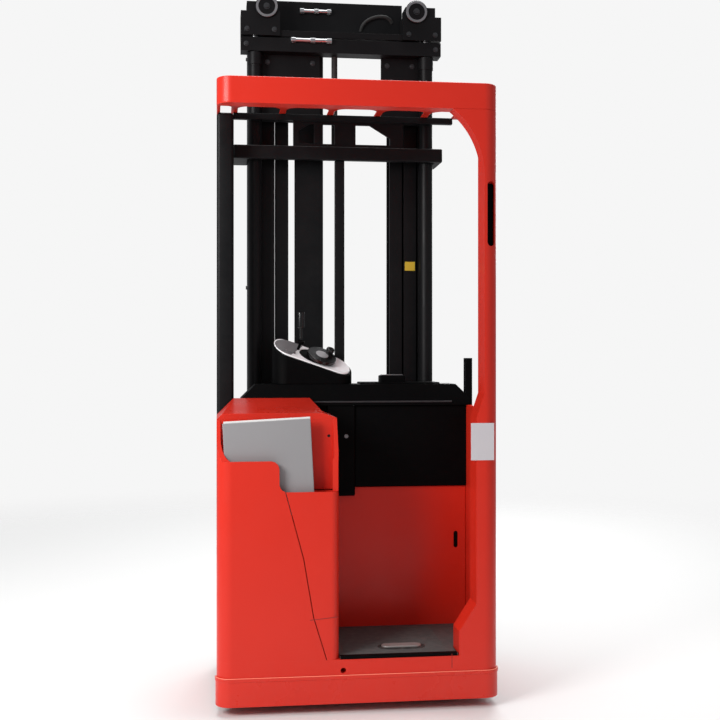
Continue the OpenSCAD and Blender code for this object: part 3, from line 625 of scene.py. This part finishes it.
def arc(centre: Flat, radius: float, start: float, turn: float, steps: int) -> list[Flat]:
    """Points along an arc, in even steps.

    Args:
        centre: Centre of the arc.
        radius: Its radius.
        start: Angle of the first point.
        turn: How far the last point lies from it.
        steps: Number of steps.

    Returns:
        The points, both ends among them.
    """
    angles = [start + step * turn / steps for step in range(steps + 1)]
    return [(centre[0] + radius * math.cos(angle), centre[1] + radius * math.sin(angle)) for angle in angles]


def block(name: str, spans: Block, edge: float = 0.002, segments: int = 2) -> Piece:
    """Model a block on the machine.

    Args:
        name: Name of the piece.
        spans: Its span across, in depth from the rear face, and in height.
        edge: Width of the edge rounding.
        segments: Steps across the rounding.

    Returns:
        The new piece.
    """
    (x0, x1), (d0, d1), (z0, z1) = spans
    return box(name, (x0, deep(d0), z0), (x1, deep(d1), z1), edge, segments)


def bolts(name: str, places: Sequence[Point], axis: Point, radius: float, finish: Finish,
          body: str = TRUCK) -> None:
    """Set six-sided bolt heads on their washers and join them.

    Args:
        name: Name of the joined piece.
        places: Centres of the faces that the bolts sit on.
        axis: Direction that the heads stand out in.
        radius: Radius of a head.
        finish: Their finish.
        body: Body that they move with.
    """
    out = Vector(axis).normalized()
    heads = []
    for number, spot in enumerate(places):
        foot = Vector(spot)
        sunk, seat = foot - out * BOLT.washer_sunk, foot + out * radius * BOLT.washer_high
        heads.append(rod(f"{name}_washer_{number}", sunk, seat, radius * BOLT.washer_wide,
                         BOLT.washer_rim, BOLT.washer_sides))
        heads.append(rod(f"{name}_head_{number}", foot, foot + out * radius * BOLT.head_high, radius,
                         radius * BOLT.head_rim, BOLT.head_sides))
    place(join(name, heads), finish, body)


def ring(name: str, centre: Point, axis: Point, inner: float, outer: float, thick: float, finish: Finish,
         body: str = TRUCK) -> None:
    """Turn a flat ring with softened rims.

    Args:
        name: Name of the ring.
        centre: Middle of the ring's thickness.
        axis: Its axis.
        inner: Inner radius.
        outer: Outer radius.
        thick: Thickness along the axis.
        finish: Its finish.
        body: Body that it moves with.
    """
    half, soft = thick / 2, min(thick, outer - inner) * RING_RIM
    profile = [(-half, inner), (-half, outer - soft), (soft - half, outer), (half - soft, outer),
               (half, outer - soft), (half, inner)]
    place(lathe(name, profile, centre, axis), finish, body)


def dress(frame: dict, node: str, finish: Finish, edge: float, segments: int = 2) -> None:
    """Put a rounded copy of a solid in its place.

    Args:
        frame: The loaded frame.
        node: Name of the solid.
        finish: Finish of the copy.
        edge: Width of the edge rounding.
        segments: Steps across the rounding.
    """
    piece = from_node(node + "_skin", frame["nodes"][node], edge, segments)
    bodies = frame["record"]["behaviour"]["bodies"]
    place(piece, finish, next(body for body, members in bodies.items() if node in members), node)


@dataclass
class BodyShell:
    """Painted covers of the truck: bumper, tower, wall, pillar, side covers and roof."""

    frame: dict
    edge: float = 0.006
    heavy_edge: float = 0.012
    tower_bolt_r: float = 0.00385
    seam_w: float = 0.003
    bumper_r: float = 0.055
    bead_r: float = 0.003
    label: Block = ((0.402, 0.487), (0.0054, 0.007), (0.891, 1.025))
    # Black plate at the back of the grab recess: painted shade in the hole.
    grab_liner: Block = ((0.4635, 0.4925), (0.043, 0.0455), (1.668, 1.893))
    tower_bolt: Point = (-0.112, 0.006, 0.984)
    panel_seam: tuple[Flat, Flat] = ((-0.178, 0.333), (-0.078, 0.342))
    panel_seam_d: Flat = (0.0057, 0.008)
    sill_seam: Block = ((0.331, 0.3335), (0.0057, 0.008), (0.147, 0.197))
    sheets_scale: Point = (0.985, 1.0, 1.0)
    sheets_at: Point = (-0.004, 0.003, 0.006)
    latch_at: Flat = (0.525, 0.62)
    latch_half: Flat = (0.020, 0.055)
    latch_t: float = 0.004
    cover_bolt_d: Flat = (0.548, 0.572)
    cover_bolt_z: Flat = (0.30, 0.98)
    cover_bolt_r: float = 0.00088
    cover_bolt_sunk: float = 0.001

    def build(self) -> None:
        """Round the painted solids and add the covers' fittings."""
        for node, edge, steps in (
            ("chassis", 0.003, 2), ("tower_cover", self.edge, 3),
            ("corner_panel", 0.003, 2), ("compartment_wall", 0.004, 2),
            ("right_pillar", self.heavy_edge, 3), ("side_covers", 0.004, 2), ("guard_roof", 0.004, 3),
        ):
            dress(self.frame, node, PAINT, edge, steps)
        dress(self.frame, "rear_bumper", GLOSS_PAINT, 0.0055, 4)
        dress(self.frame, "tower_hood", GLOSS_PAINT, self.heavy_edge, 4)
        dress(self.frame, "document_folder", FOLDER, 0.003)
        dress(self.frame, "battery", TRAY, 0.006)
        self._bumper()
        self._pillar()
        self._tower()
        self._sides()

    def _bumper(self) -> None:
        """Run a bead along the bumper's top edge, painted lighter than the body: a painted highlight on the
        rounded lip, and worn paint.
        """
        low, high, _ = span(self.frame, "rear_bumper")
        turn_r, z = self.bumper_r - self.bead_r, high[2] - self.bead_r / 2
        path = [(low[0] + self.bead_r, high[1] - self.bead_r, z)]
        for x, start in ((low[0] + self.bumper_r, math.pi), (high[0] - self.bumper_r, 1.5 * math.pi)):
            corner = arc((x, low[1] + self.bumper_r), turn_r, start, math.pi / 2, 8)
            path += [(*spot, z) for spot in corner]
        path.append((high[0] - self.bead_r, high[1] - self.bead_r, z))
        # The bead's lighter paint is a painted highlight on the lip, and worn paint.
        place(tube("bumper_bead", path, self.bead_r), LIP_HIGHLIGHT_PAINT)

    def _pillar(self) -> None:
        """Add the pillar's blank label and a black plate at the back of its grab recess, painted shade in the
        hole.
        """
        place(block("pillar_label", self.label, 0.0002, 1), LABEL)
        # The black plate stands in for the shade inside the grab recess.
        place(block("grab_liner", self.grab_liner, 0.0008, 1), MOULDING)

    def _tower(self) -> None:
        """Add the tower's bolt, the seams and the papers in the folder."""
        x, d, z = self.tower_bolt
        bolts("tower_bolts", [(x, deep(d), z)], REARWARD, self.tower_bolt_r, MAST_PAINT)
        half = self.seam_w / 2
        lower = [(x, z - half) for x, z in self.panel_seam]
        level = lower + [(x, z + half) for x, z in reversed(self.panel_seam)]
        near, far = self.panel_seam_d
        place(slab("panel_seam", level, Facing.REAR, deep(near), deep(far), 0.0), POCKET)
        place(block("sill_seam", self.sill_seam, 0.0), POCKET)
        sheets = from_node("folder_sheets", self.frame["nodes"]["document_folder"], 0.0)
        sheets.scale = self.sheets_scale
        sheets.location = self.sheets_at
        place(settle(sheets, "folder_sheets"), PAPER)

    def _sides(self) -> None:
        """Add a flush latch and bolts to each side cover."""
        low, high, _ = span(self.frame, "side_covers")
        (d, z), (half_d, half_z) = self.latch_at, self.latch_half
        for face, (side, name) in zip((low[0], high[0]), SIDES):
            x = sorted((face, face - side * self.latch_t))
            latch = block(f"{name}_latch", (x, (d - half_d, d + half_d), (z - half_z, z + half_z)), 0.0015)
            place(latch, MOULDING)
            spots = [(face - side * self.cover_bolt_sunk, deep(bolt_d), bolt_z)
                     for bolt_d in self.cover_bolt_d for bolt_z in self.cover_bolt_z]
            bolts(f"{name}_cover_bolts", spots, (side, 0, 0), self.cover_bolt_r, MAST_PAINT)


@dataclass(frozen=True)
class PodTop:
    """Sloping top of the control pod."""

    middle: Point = (-0.130, deep(0.507), 1.261)
    tilt_deg: float = 27.0
    slope_deg: float = 19.0
    wheel_at: float = 0.034

    def lay(self, piece: Piece) -> Piece:
        """Move a piece modelled flat at the origin onto the sloping top.

        Args:
            piece: Piece with Z as the top's normal.

        Returns:
            The same piece.
        """
        piece.rotation_euler = (math.radians(self.tilt_deg), math.radians(self.slope_deg), 0.0)
        piece.location = self.middle
        return settle(piece, piece.name)


@dataclass
class Interior:
    """Platform, knee panel, dash and controls."""

    frame: dict
    pod: PodTop = PodTop()
    trim_end: float = 0.352
    trim_w: float = 0.020
    trim_proud: float = 0.0018
    trim_lap: float = 0.001
    rib_x: Flat = (-0.052, 0.325)
    rib_d: Flat = (0.030, 0.425)
    rib_z: Flat = (-0.002, 0.0009)
    rib_w: float = 0.004
    rib_pitch: float = 0.011
    pedal_rim: float = 0.014
    pedal_z: Flat = (-0.001, 0.0022)
    bead_x: Flat = (-0.335, 0.420)
    bead_at: Flat = (0.4262, 1.086)
    bead_r: float = 0.0035
    skirt: Block = ((-0.400, -0.070), (0.452, 0.462), (0.980, 1.0725))
    step: Block = ((0.060, 0.380), (0.470, 0.586), (1.151, 1.162))
    switch: Block = ((0.140, 0.241), (0.474, 0.535), (1.155, 1.189))
    cover: Block = ((0.148, 0.233), (0.480, 0.529), (1.188, 1.192))
    slot_x: float = 0.440
    slot_z: Flat = (0.510, 0.560)
    slot_d: Flat = (0.4494, 0.452)
    slot_r: float = 0.008
    post_bolt: Flat = (-0.001, 0.951)
    post_bolt_r: float = 0.006
    inlay_at: Flat = (-0.100, 0.005)
    inlay_r: float = 0.0575
    inlay_ends: Flat = (-0.045, -0.085)
    inlay_z: Flat = (0.0046, 0.0062)
    dish_at: float = 0.018
    dish_half: Flat = (0.073, 0.050)
    dish_z: Flat = (0.0046, 0.0070)
    dish_rim: float = 0.0006
    # Size and height of the lighter hub disc, a painted sheen on the steering disc.
    sheen_hub_r: float = 0.026
    sheen_hub_z: Flat = (0.025, 0.0285)
    knob_at: Flat = (0.026, 0.022)
    cap_r: float = 0.0165
    cap_z: Flat = (0.0340, 0.0545)
    stem_r: float = 0.0075
    stem_z: Flat = (-0.006, 0.050)
    grip_r: float = 0.0150
    grip_z: Flat = (0.040, 0.105)
    key_low: Point = (-0.118, -0.036, 0.0060)
    key_size: Point = (0.013, 0.012, 0.0035)
    key_pitch: float = 0.018

    def build(self) -> None:
        """Round the interior's solids and add their fittings."""
        dress(self.frame, "platform_mat", MAT, 0.003)
        dress(self.frame, "floor_pedal", PEDAL, 0.006, 4)
        for node, edge in (("knee_panel", 0.004), ("corner_post", 0.006), ("dash_shelf", 0.010),
                           ("control_pod", 0.006), ("control_lever", 0.004)):
            dress(self.frame, node, MOULDING, edge, 3)
        dress(self.frame, "steering_disc", GLOSS, 0.004, 3)
        dress(self.frame, "control_face", SILVER, 0.002)
        self._floor()
        self._dash()
        self._controls()

    def _floor(self) -> None:
        """Add the mat's dark edge, its ribs and the frame round the pedal."""
        low, high, _ = span(self.frame, "platform_mat")
        top, lap = high[2], self.trim_lap
        place(box("mat_edge", (low[0] + lap, low[1] - lap, low[2] + lap / 2),
                  (self.trim_end, low[1] + self.trim_w, top + self.trim_proud), 0.001), MOULDING)
        ribs = []
        (x0, x1), (z0, z1) = self.rib_x, self.rib_z
        for number in range(int((self.rib_d[1] - self.rib_d[0]) / self.rib_pitch)):
            y = deep(self.rib_d[0] + number * self.rib_pitch)
            low, high = (x0, y, top + z0), (x1, y + self.rib_w, top + z1)
            ribs.append(box(f"rib_{number}", low, high, 0.0006, 1))
        place(join("mat_ribs", ribs), MAT)
        low, high, middle = span(self.frame, "floor_pedal")
        half = (high[1] - low[1]) / 2
        left = arc((low[0] + half, middle[1]), half + self.pedal_rim, math.pi / 2, math.pi, 12)
        oval = left + [(2 * middle[0] - x, 2 * middle[1] - y) for x, y in left]
        z0, z1 = self.pedal_z
        place(slab("pedal_frame", oval, Facing.TOP, top + z0, top + z1, 0.001), RUBBER)

    def _dash(self) -> None:
        """Add the dash's bead, skirt, raised part and switch box, a flat black slot shape on the wall as
        painted shade of a finger slot, and the post's bolt.
        """
        d, z = self.bead_at
        bead = [(x, deep(d), z) for x in self.bead_x]
        place(rod("dash_bead", *bead, self.bead_r, 0.001, 16), TRAY)
        place(block("dash_skirt", self.skirt, 0.001, 1), MOULDING)
        place(block("dash_step", self.step, 0.004, 3), MOULDING)
        place(block("switch_box", self.switch, 0.005, 3), MOULDING)
        place(block("switch_cover", self.cover), DULL_STEEL)
        # Flat black slot shape on the wall face: painted shade of a finger slot's opening.
        slot = arc((self.slot_x, self.slot_z[1]), self.slot_r, 0.0, math.pi, 8)
        slot += [(x, sum(self.slot_z) - z) for x, z in reversed(slot)]
        near, far = self.slot_d
        place(slab("wall_slot", slot, Facing.REAR, deep(near), deep(far), 0.0), MOULDING)
        x, z = self.post_bolt
        face = span(self.frame, "corner_post")[0][1]
        bolts("post_bolt", [(x, face, z)], REARWARD, self.post_bolt_r, DULL_STEEL)

    def _controls(self) -> None:
        """Add the pod's inlay and keys, the disc's dish, its lighter hub (a painted sheen on the disc's top),
        its knob cap, and the lever's grip.
        """
        y, radius = self.inlay_at[1], self.inlay_r
        bend = arc(self.inlay_at, radius, math.pi / 2, math.pi, 14)
        outline = [(self.inlay_ends[0], y + radius), *bend, (self.inlay_ends[1], y - radius)]
        inlay = slab("pod_inlay", outline, Facing.TOP, *self.inlay_z, 0.0004, 1)
        place(self.pod.lay(inlay), INLAY)
        (half_x, half_y), (z0, z1) = self.dish_half, self.dish_z
        profile = [(z0, self.sheen_hub_r), (z0, half_y), (z1, half_y - self.dish_rim), (z1, self.sheen_hub_r)]
        dish = lathe("disc_dish", profile, (0, 0, 0), (0, 0, 1))
        dish.scale = (half_x / half_y, 1.0, 1.0)
        dish.location = (self.dish_at, 0.0, 0.0)
        place(self.pod.lay(settle(dish, "disc_dish")), MOULDING)
        at = self.pod.wheel_at
        # The lighter hub is a painted sheen on the disc's top.
        hub = rod("disc_hub", *[(at, 0, z) for z in self.sheen_hub_z], self.sheen_hub_r, 0.0015, 40)
        place(self.pod.lay(hub), SHEEN_HUB, "steering_disc")
        ends = [(at + self.knob_at[0], self.knob_at[1], z) for z in self.cap_z]
        cap = rod("knob_cap", *ends, self.cap_r, 0.0060)
        place(self.pod.lay(cap), GLOSS, "steering_disc")
        _, (_, _, top), (x, y, _) = span(self.frame, "control_lever")
        stem = rod("stem", *[(x, y, top + z) for z in self.stem_z], self.stem_r)
        grip = rod("grip", *[(x, y, top + z) for z in self.grip_z], self.grip_r, 0.0065)
        place(join("lever_grip", [stem, grip]), GLOSS)
        keys = []
        for number in range(3):
            low = Vector(self.key_low) + Vector((number * self.key_pitch, 0, 0))
            keys.append(box(f"key_{number}", low, low + Vector(self.key_size), 0.001))
        place(self.pod.lay(join("pod_keys", keys)), DULL_STEEL)


@dataclass(frozen=True)
class Fitting:
    """Pipe across the mast with its nuts."""

    name: str
    ends: Flat
    d: float
    z: float
    nuts: Point
    nut_w: float
    nut_r: float
    pipe_r: float = 0.0075

    def model(self) -> Piece:
        """Model the pipe and its nuts as one piece and return it."""
        y, z = deep(self.d), self.z
        parts = [rod(self.name + "_pipe", *[(x, y, z) for x in self.ends], self.pipe_r)]
        for x in self.nuts:
            end = (x + self.nut_w, y, z)
            parts.append(rod(self.name + "_nut", (x, y, z), end, self.nut_r, 0.001, 6))
        return join(self.name + "_fitting", parts)


@dataclass
class Mast:
    """Mast stages, cylinders, chain, carriage and forks, with the guard's dark bars."""

    frame: dict
    cylinder_at: Flat = (0.352, 0.625)
    gland_z: float = 2.471
    gland_r: Flat = (0.0262, 0.0300)
    gland_h: float = 0.050
    clamp_d: Flat = (0.645, 0.672)
    clamp_z: Flat = (1.05, 1.75)
    clamp_half: float = 0.020
    clamp_h: float = 0.035
    hose_at: Flat = (-0.024, 0.664)
    hose_z: Row = (2.515, 2.40, 2.25, 2.12)
    hose_r: float = 0.0125
    bolt_r: float = 0.008
    plate_d: float = 0.658
    plate_bolt_x: Row = (-0.300, -0.115, 0.195, 0.300)
    plate_bolt_z: Flat = (2.325, 2.470)
    beam_bolt: Point = (0.388, 0.598, 2.527)
    rail_bolt: Flat = (0.380, 0.745)
    rail_bolt_z: Row = (0.95, 1.55, 2.09, 2.50)
    pulley_at: Point = (0.306, 0.582, 2.676)
    pulley_proud: float = 0.0005
    pulley_r: Flat = (0.034, 0.0435)
    pulley_t: float = 0.003
    pulley_pin_r: float = 0.010
    block_bolt_x: Flat = (0.275, 0.385)
    block_bolt: Flat = (0.590, 2.585)
    upper: Fitting = Fitting("upper", (-0.160, -0.035), 0.690, 2.694, (-0.165, -0.105, -0.053), 0.018, 0.012)
    lower: Fitting = Fitting("lower", (-0.204, -0.043), 0.588, 2.545, (-0.208, -0.130, -0.063), 0.020, 0.0115)
    head_hose: tuple[Point, ...] = (
        (0.090, 0.702, 2.622), (0.092, 0.690, 2.640), (0.120, 0.688, 2.668),
        (0.165, 0.688, 2.684), (0.210, 0.690, 2.680), (0.222, 0.702, 2.660))
    head_hose_r: float = 0.0075
    label: Block = ((0.274, 0.317), (0.6845, 0.686), (1.623, 1.660))
    chain_from: float = 0.012
    chain_spare: float = 0.03
    link_pitch: float = 0.019
    pin_r: float = 0.0034
    pin_out: float = 0.0015
    fork_x: float = 0.1875
    heel_bolt_x: float = 0.055
    heel_bolt_z: Flat = (0.33, 0.43)
    heel_bolt_r: float = 0.007
    heel_d: float = 0.880

    def build(self) -> None:
        """Round the mast's solids and add its fittings."""
        for node, edge in (
            ("left_pillar", 0.012), ("guard_header", 0.002), ("guard_crossbar", 0.005),
            ("screen_post", 0.004), ("mast_outer", 0.003), ("lift_cylinders", 0.003), (MIDDLE, 0.003),
            (INNER, 0.003), ("free_lift_cylinder", 0.003), ("fork_carriage", 0.003), ("forks", 0.003),
            ("support_legs", 0.002),
        ):
            dress(self.frame, node, MAST_PAINT, edge)
        for node in ("lift_rods", "free_lift_rod", "lift_chains"):
            dress(self.frame, node, STEEL, 0.001)
        self._cylinders()
        self._head()
        self._chain()
        self._forks()

    def _cylinders(self) -> None:
        """Add the cylinders' glands and clamps, the mast's hose and the outer stage's bolts."""
        clamps = []
        for side, name in SIDES:
            x = side * self.cylinder_at[0]
            ring(f"{name}_gland", (x, deep(self.cylinder_at[1]), self.gland_z), (0, 0, 1), *self.gland_r,
                 self.gland_h, MAST_PAINT)
            across = (x - self.clamp_half, x + self.clamp_half)
            for z in self.clamp_z:
                clamps.append(block("clamp", (across, self.clamp_d, (z, z + self.clamp_h))))
        place(join("cylinder_clamps", clamps), MAST_PAINT)
        x, d = self.hose_at
        place(tube("mast_hose", [(x, deep(d), z) for z in self.hose_z], self.hose_r), RUBBER)
        spots = [(x, deep(self.plate_d), z) for x in self.plate_bolt_x for z in self.plate_bolt_z]
        bolts("plate_bolts", spots, REARWARD, self.bolt_r, DARK_BOLT)
        x, d, z = self.beam_bolt
        bolts("beam_bolts", [(side * x, deep(d), z) for side, _ in SIDES], REARWARD, self.bolt_r, DARK_BOLT)
        x, d = self.rail_bolt
        for side, name in SIDES:
            spots = [(side * x, deep(d), z) for z in self.rail_bolt_z]
            bolts(f"{name}_rail_bolts", spots, (side, 0, 0), self.bolt_r, DARK_BOLT)

    def _head(self) -> None:
        """Add the head's chain wheels, bolts, pipes, hose and the blank yellow label."""
        x, d, z = self.pulley_at
        block_d, block_z = self.block_bolt
        for side, name in SIDES:
            spot = (side * x, deep(d - self.pulley_proud), z)
            ring(f"{name}_pulley_rim", spot, (0, 1, 0), *self.pulley_r, self.pulley_t, DULL_STEEL, MIDDLE)
            pin = [(side * x, deep(d), z)]
            bolts(f"{name}_pulley_pin", pin, REARWARD, self.pulley_pin_r, DARK_BOLT, MIDDLE)
            spots = [(side * at, deep(block_d), block_z) for at in self.block_bolt_x]
            bolts(f"{name}_block_bolts", spots, REARWARD, self.bolt_r, DARK_BOLT, MIDDLE)
        place(self.upper.model(), STEEL, INNER)
        place(self.lower.model(), STEEL)
        hose = [(x, deep(d), z) for x, d, z in self.head_hose]
        place(tube("head_hose", hose, self.head_hose_r), RUBBER, INNER)
        place(block("yellow_label", self.label, 0.0002, 1), YELLOW, MIDDLE)

    def _chain(self) -> None:
        """Add the pins of the carriage chain."""
        low, high, (_, y, _) = span(self.frame, "lift_chains")
        pins = []
        for number in range(int((high[2] - low[2] - self.chain_spare) / self.link_pitch)):
            z = low[2] + self.chain_from + number * self.link_pitch
            start, end = (low[0] - self.pin_out, y, z), (high[0] + self.pin_out, y, z)
            pins.append(rod("pin", start, end, self.pin_r, 0.0005, 12))
        place(join("chain_pins", pins), DULL_STEEL, "free_lift_rod")

    def _forks(self) -> None:
        """Add the bolts of the fork heels."""
        spots = [(side * self.fork_x + shift, deep(self.heel_d), z) for side, _ in SIDES
                 for shift in (-self.heel_bolt_x, self.heel_bolt_x) for z in self.heel_bolt_z]
        bolts("heel_bolts", spots, (0, 1, 0), self.heel_bolt_r, DULL_STEEL, "fork_carriage")


@dataclass
class RunningGear:
    """Drive unit, drive wheel, castor and load wheels."""

    frame: dict
    hub_bolt_circle: float = 0.058
    hub_bolt_r: float = 0.009
    fin_count: int = 10
    fin_from: float = 0.05
    fin_pitch: float = 0.022
    fin_t: float = 0.006
    fin_out: float = 0.004
    disc_r: Flat = (0.012, 0.040)
    disc_t: float = 0.003
    nut_r: float = 0.011
    bearing_r: Flat = (0.0104, 0.022)
    bearing_t: float = 0.002

    def build(self) -> None:
        """Round the running gear's solids and add its fittings."""
        dress(self.frame, "drive_unit", CASTING, 0.003)
        dress(self.frame, "drive_motor", CASTING, 0.006)
        dress(self.frame, "drive_hub", DULL_STEEL, 0.003)
        dress(self.frame, "drive_tyre", RUBBER, 0.006, 3)
        dress(self.frame, "castor_fork", MAST_PAINT, 0.002)
        dress(self.frame, "castor_wheels", RUBBER, 0.005, 3)
        for corner in ("lf", "lr", "rf", "rr"):
            dress(self.frame, "load_wheel_" + corner, AMBER, 0.004, 3)
            self._load_wheel("load_wheel_" + corner)
        self._drive()
        self._castor()

    def _drive(self) -> None:
        """Add the wheel bolts and the motor's fins."""
        low, _, (_, y, z) = span(self.frame, "drive_hub")
        spots = [(low[0], *spot) for spot in arc((y, z), self.hub_bolt_circle, 0.0, 2 * math.pi, 6)[:-1]]
        bolts("wheel_bolts", spots, (-1, 0, 0), self.hub_bolt_r, STEEL, "drive_wheel")
        low, high, (x, y, _) = span(self.frame, "drive_motor")
        radius = (high[0] - low[0]) / 2
        inner, outer = radius - self.fin_out, radius + self.fin_out
        profile = [(0.0, inner), (0.0, outer), (self.fin_t, outer), (self.fin_t, inner)]
        heights = [low[2] + self.fin_from + number * self.fin_pitch for number in range(self.fin_count)]
        fins = [lathe("fin", profile, (x, y, z), (0, 0, 1)) for z in heights]
        place(join("motor_fins", fins), CASTING, "drive_unit")

    def _castor(self) -> None:
        """Add the castor wheels' discs and axle ends."""
        body = "castor_wheels"
        low, high, (_, y, z) = span(self.frame, body)
        for x, (out, name) in zip((low[0], high[0]), SIDES):
            ring(f"{name}_castor_disc", (x, y, z), (1, 0, 0), *self.disc_r, self.disc_t, DULL_STEEL, body)
            bolts(f"{name}_castor_nut", [(x, y, z)], (out, 0, 0), self.nut_r, STEEL, body)

    def _load_wheel(self, node: str) -> None:
        """Add the steel bearing rings of a load wheel.

        Args:
            node: Name of the wheel's solid and body.
        """
        low, high, (_, y, z) = span(self.frame, node)
        for x, (_, name) in zip((low[0], high[0]), SIDES):
            ring(f"{node}_{name}_ring", (x, y, z), (1, 0, 0), *self.bearing_r, self.bearing_t, STEEL, node)


@dataclass
class Studio:
    """Floor, light and camera."""

    eye: Point = (-0.499, -4.955, 1.270)
    yaw_deg: float = -7.2
    focal_px: float = 1120.0
    picture_px: float = 720.0
    horizon_px: float = 355.0
    sensor_mm: float = 36.0
    floor_half: float = 12.0
    floor_tone: Point = (0.80, 0.80, 0.79)
    floor_rough: float = 0.6
    fade: Flat = (1.6, 6.0)
    air_tone: Point = (0.95, 0.96, 1.0)
    air_power: float = 0.31
    seen_tone: Point = (0.97, 0.97, 0.97)
    seen_power: float = 0.95
    far_clip: float = 100.0

    def build(self) -> None:
        """Set up the stage round the machine."""
        self._floor()
        self._world()
        self._lamps()
        self._camera()
        bpy.context.scene.view_settings.view_transform = "Standard"

    def _floor(self) -> None:
        """Lay a pale floor that fades out far from the machine."""
        bpy.ops.mesh.primitive_plane_add(size=2 * self.floor_half)
        floor = settle(bpy.context.object, "studio_floor")
        material = bpy.data.materials.new("pale_floor")
        material.use_nodes = True
        nodes = material.node_tree.nodes
        shader = nodes["Principled BSDF"]
        feed(shader, {"Base Color": (*self.floor_tone, 1.0), "Roughness": self.floor_rough})
        where = nodes.new("ShaderNodeTexCoord")
        reach = nodes.new("ShaderNodeVectorMath")
        reach.operation = "LENGTH"
        wire(where, "Object", reach, 0)
        fade = nodes.new("ShaderNodeMapRange")
        fade.interpolation_type = "SMOOTHSTEP"
        feed(fade, {"From Min": self.fade[0], "From Max": self.fade[1]})
        wire(reach, "Value", fade, "Value")
        clear = nodes.new("ShaderNodeBsdfTransparent")
        blend = nodes.new("ShaderNodeMixShader")
        wire(fade, "Result", blend, "Fac")
        wire(shader, "BSDF", blend, 1)
        wire(clear, "BSDF", blend, 2)
        wire(blend, "Shader", nodes["Material Output"], "Surface")
        floor.data.materials.append(material)

    def _world(self) -> None:
        """Fill the surroundings with an even pale light, and show the camera a paler one."""
        world = bpy.data.worlds.new("studio_air")
        bpy.context.scene.world = world
        world.use_nodes = True
        nodes = world.node_tree.nodes
        air = nodes["Background"]
        feed(air, {"Color": (*self.air_tone, 1.0), "Strength": self.air_power})
        seen = nodes.new("ShaderNodeBackground")
        feed(seen, {"Color": (*self.seen_tone, 1.0), "Strength": self.seen_power})
        path = nodes.new("ShaderNodeLightPath")
        blend = nodes.new("ShaderNodeMixShader")
        wire(path, "Is Camera Ray", blend, "Fac")
        wire(air, "Background", blend, 1)
        wire(seen, "Background", blend, 2)
        wire(blend, "Shader", nodes["World Output"], "Surface")

    def _lamps(self) -> None:
        """Hang soft lamps: a key at the rear left, a fill at the rear right, one above and one in front."""
        for name, spot, aim, size, power in (
            ("key", (-2.5, -2.9, 2.4), (-0.5, -1.0, 1.1), 1.4, 102.0),
            ("fill", (3.4, -4.0, 2.6), (0.0, -0.8, 1.0), 3.0, 6.0),
            ("top", (0.0, 0.4, 7.6), (0.0, 0.0, 0.0), 4.5, 470.0),
            ("front", (2.2, 4.6, 3.4), (0.0, 0.4, 1.0), 3.0, 120.0),
        ):
            lamp = bpy.data.lights.new(name, "AREA")
            lamp.size = size
            lamp.energy = power
            holder = bpy.data.objects.new(name, lamp)
            bpy.context.collection.objects.link(holder)
            holder.location = spot
            holder.rotation_euler = (Vector(aim) - Vector(spot)).to_track_quat("-Z", "Y").to_euler()

    def _camera(self) -> None:
        """Stand the camera at the photograph's viewing angle."""
        data = bpy.data.cameras.new("viewpoint")
        data.sensor_width = self.sensor_mm
        data.lens = self.focal_px / self.picture_px * self.sensor_mm
        data.shift_y = (self.horizon_px - self.picture_px / 2) / self.picture_px
        data.clip_end = self.far_clip
        camera = bpy.data.objects.new("viewpoint", data)
        bpy.context.collection.objects.link(camera)
        camera.location = self.eye
        camera.rotation_euler = (math.pi / 2, 0.0, math.radians(self.yaw_deg))
        bpy.context.scene.camera = camera


def main() -> None:
    """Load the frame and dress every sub-assembly."""
    logging.basicConfig(level=logging.INFO, format="%(name)s %(message)s")
    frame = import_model()
    Studio().build()
    for part in (BodyShell(frame), Interior(frame), Mast(frame), RunningGear(frame)):
        part.build()


if __name__ == "__main__":
    main()
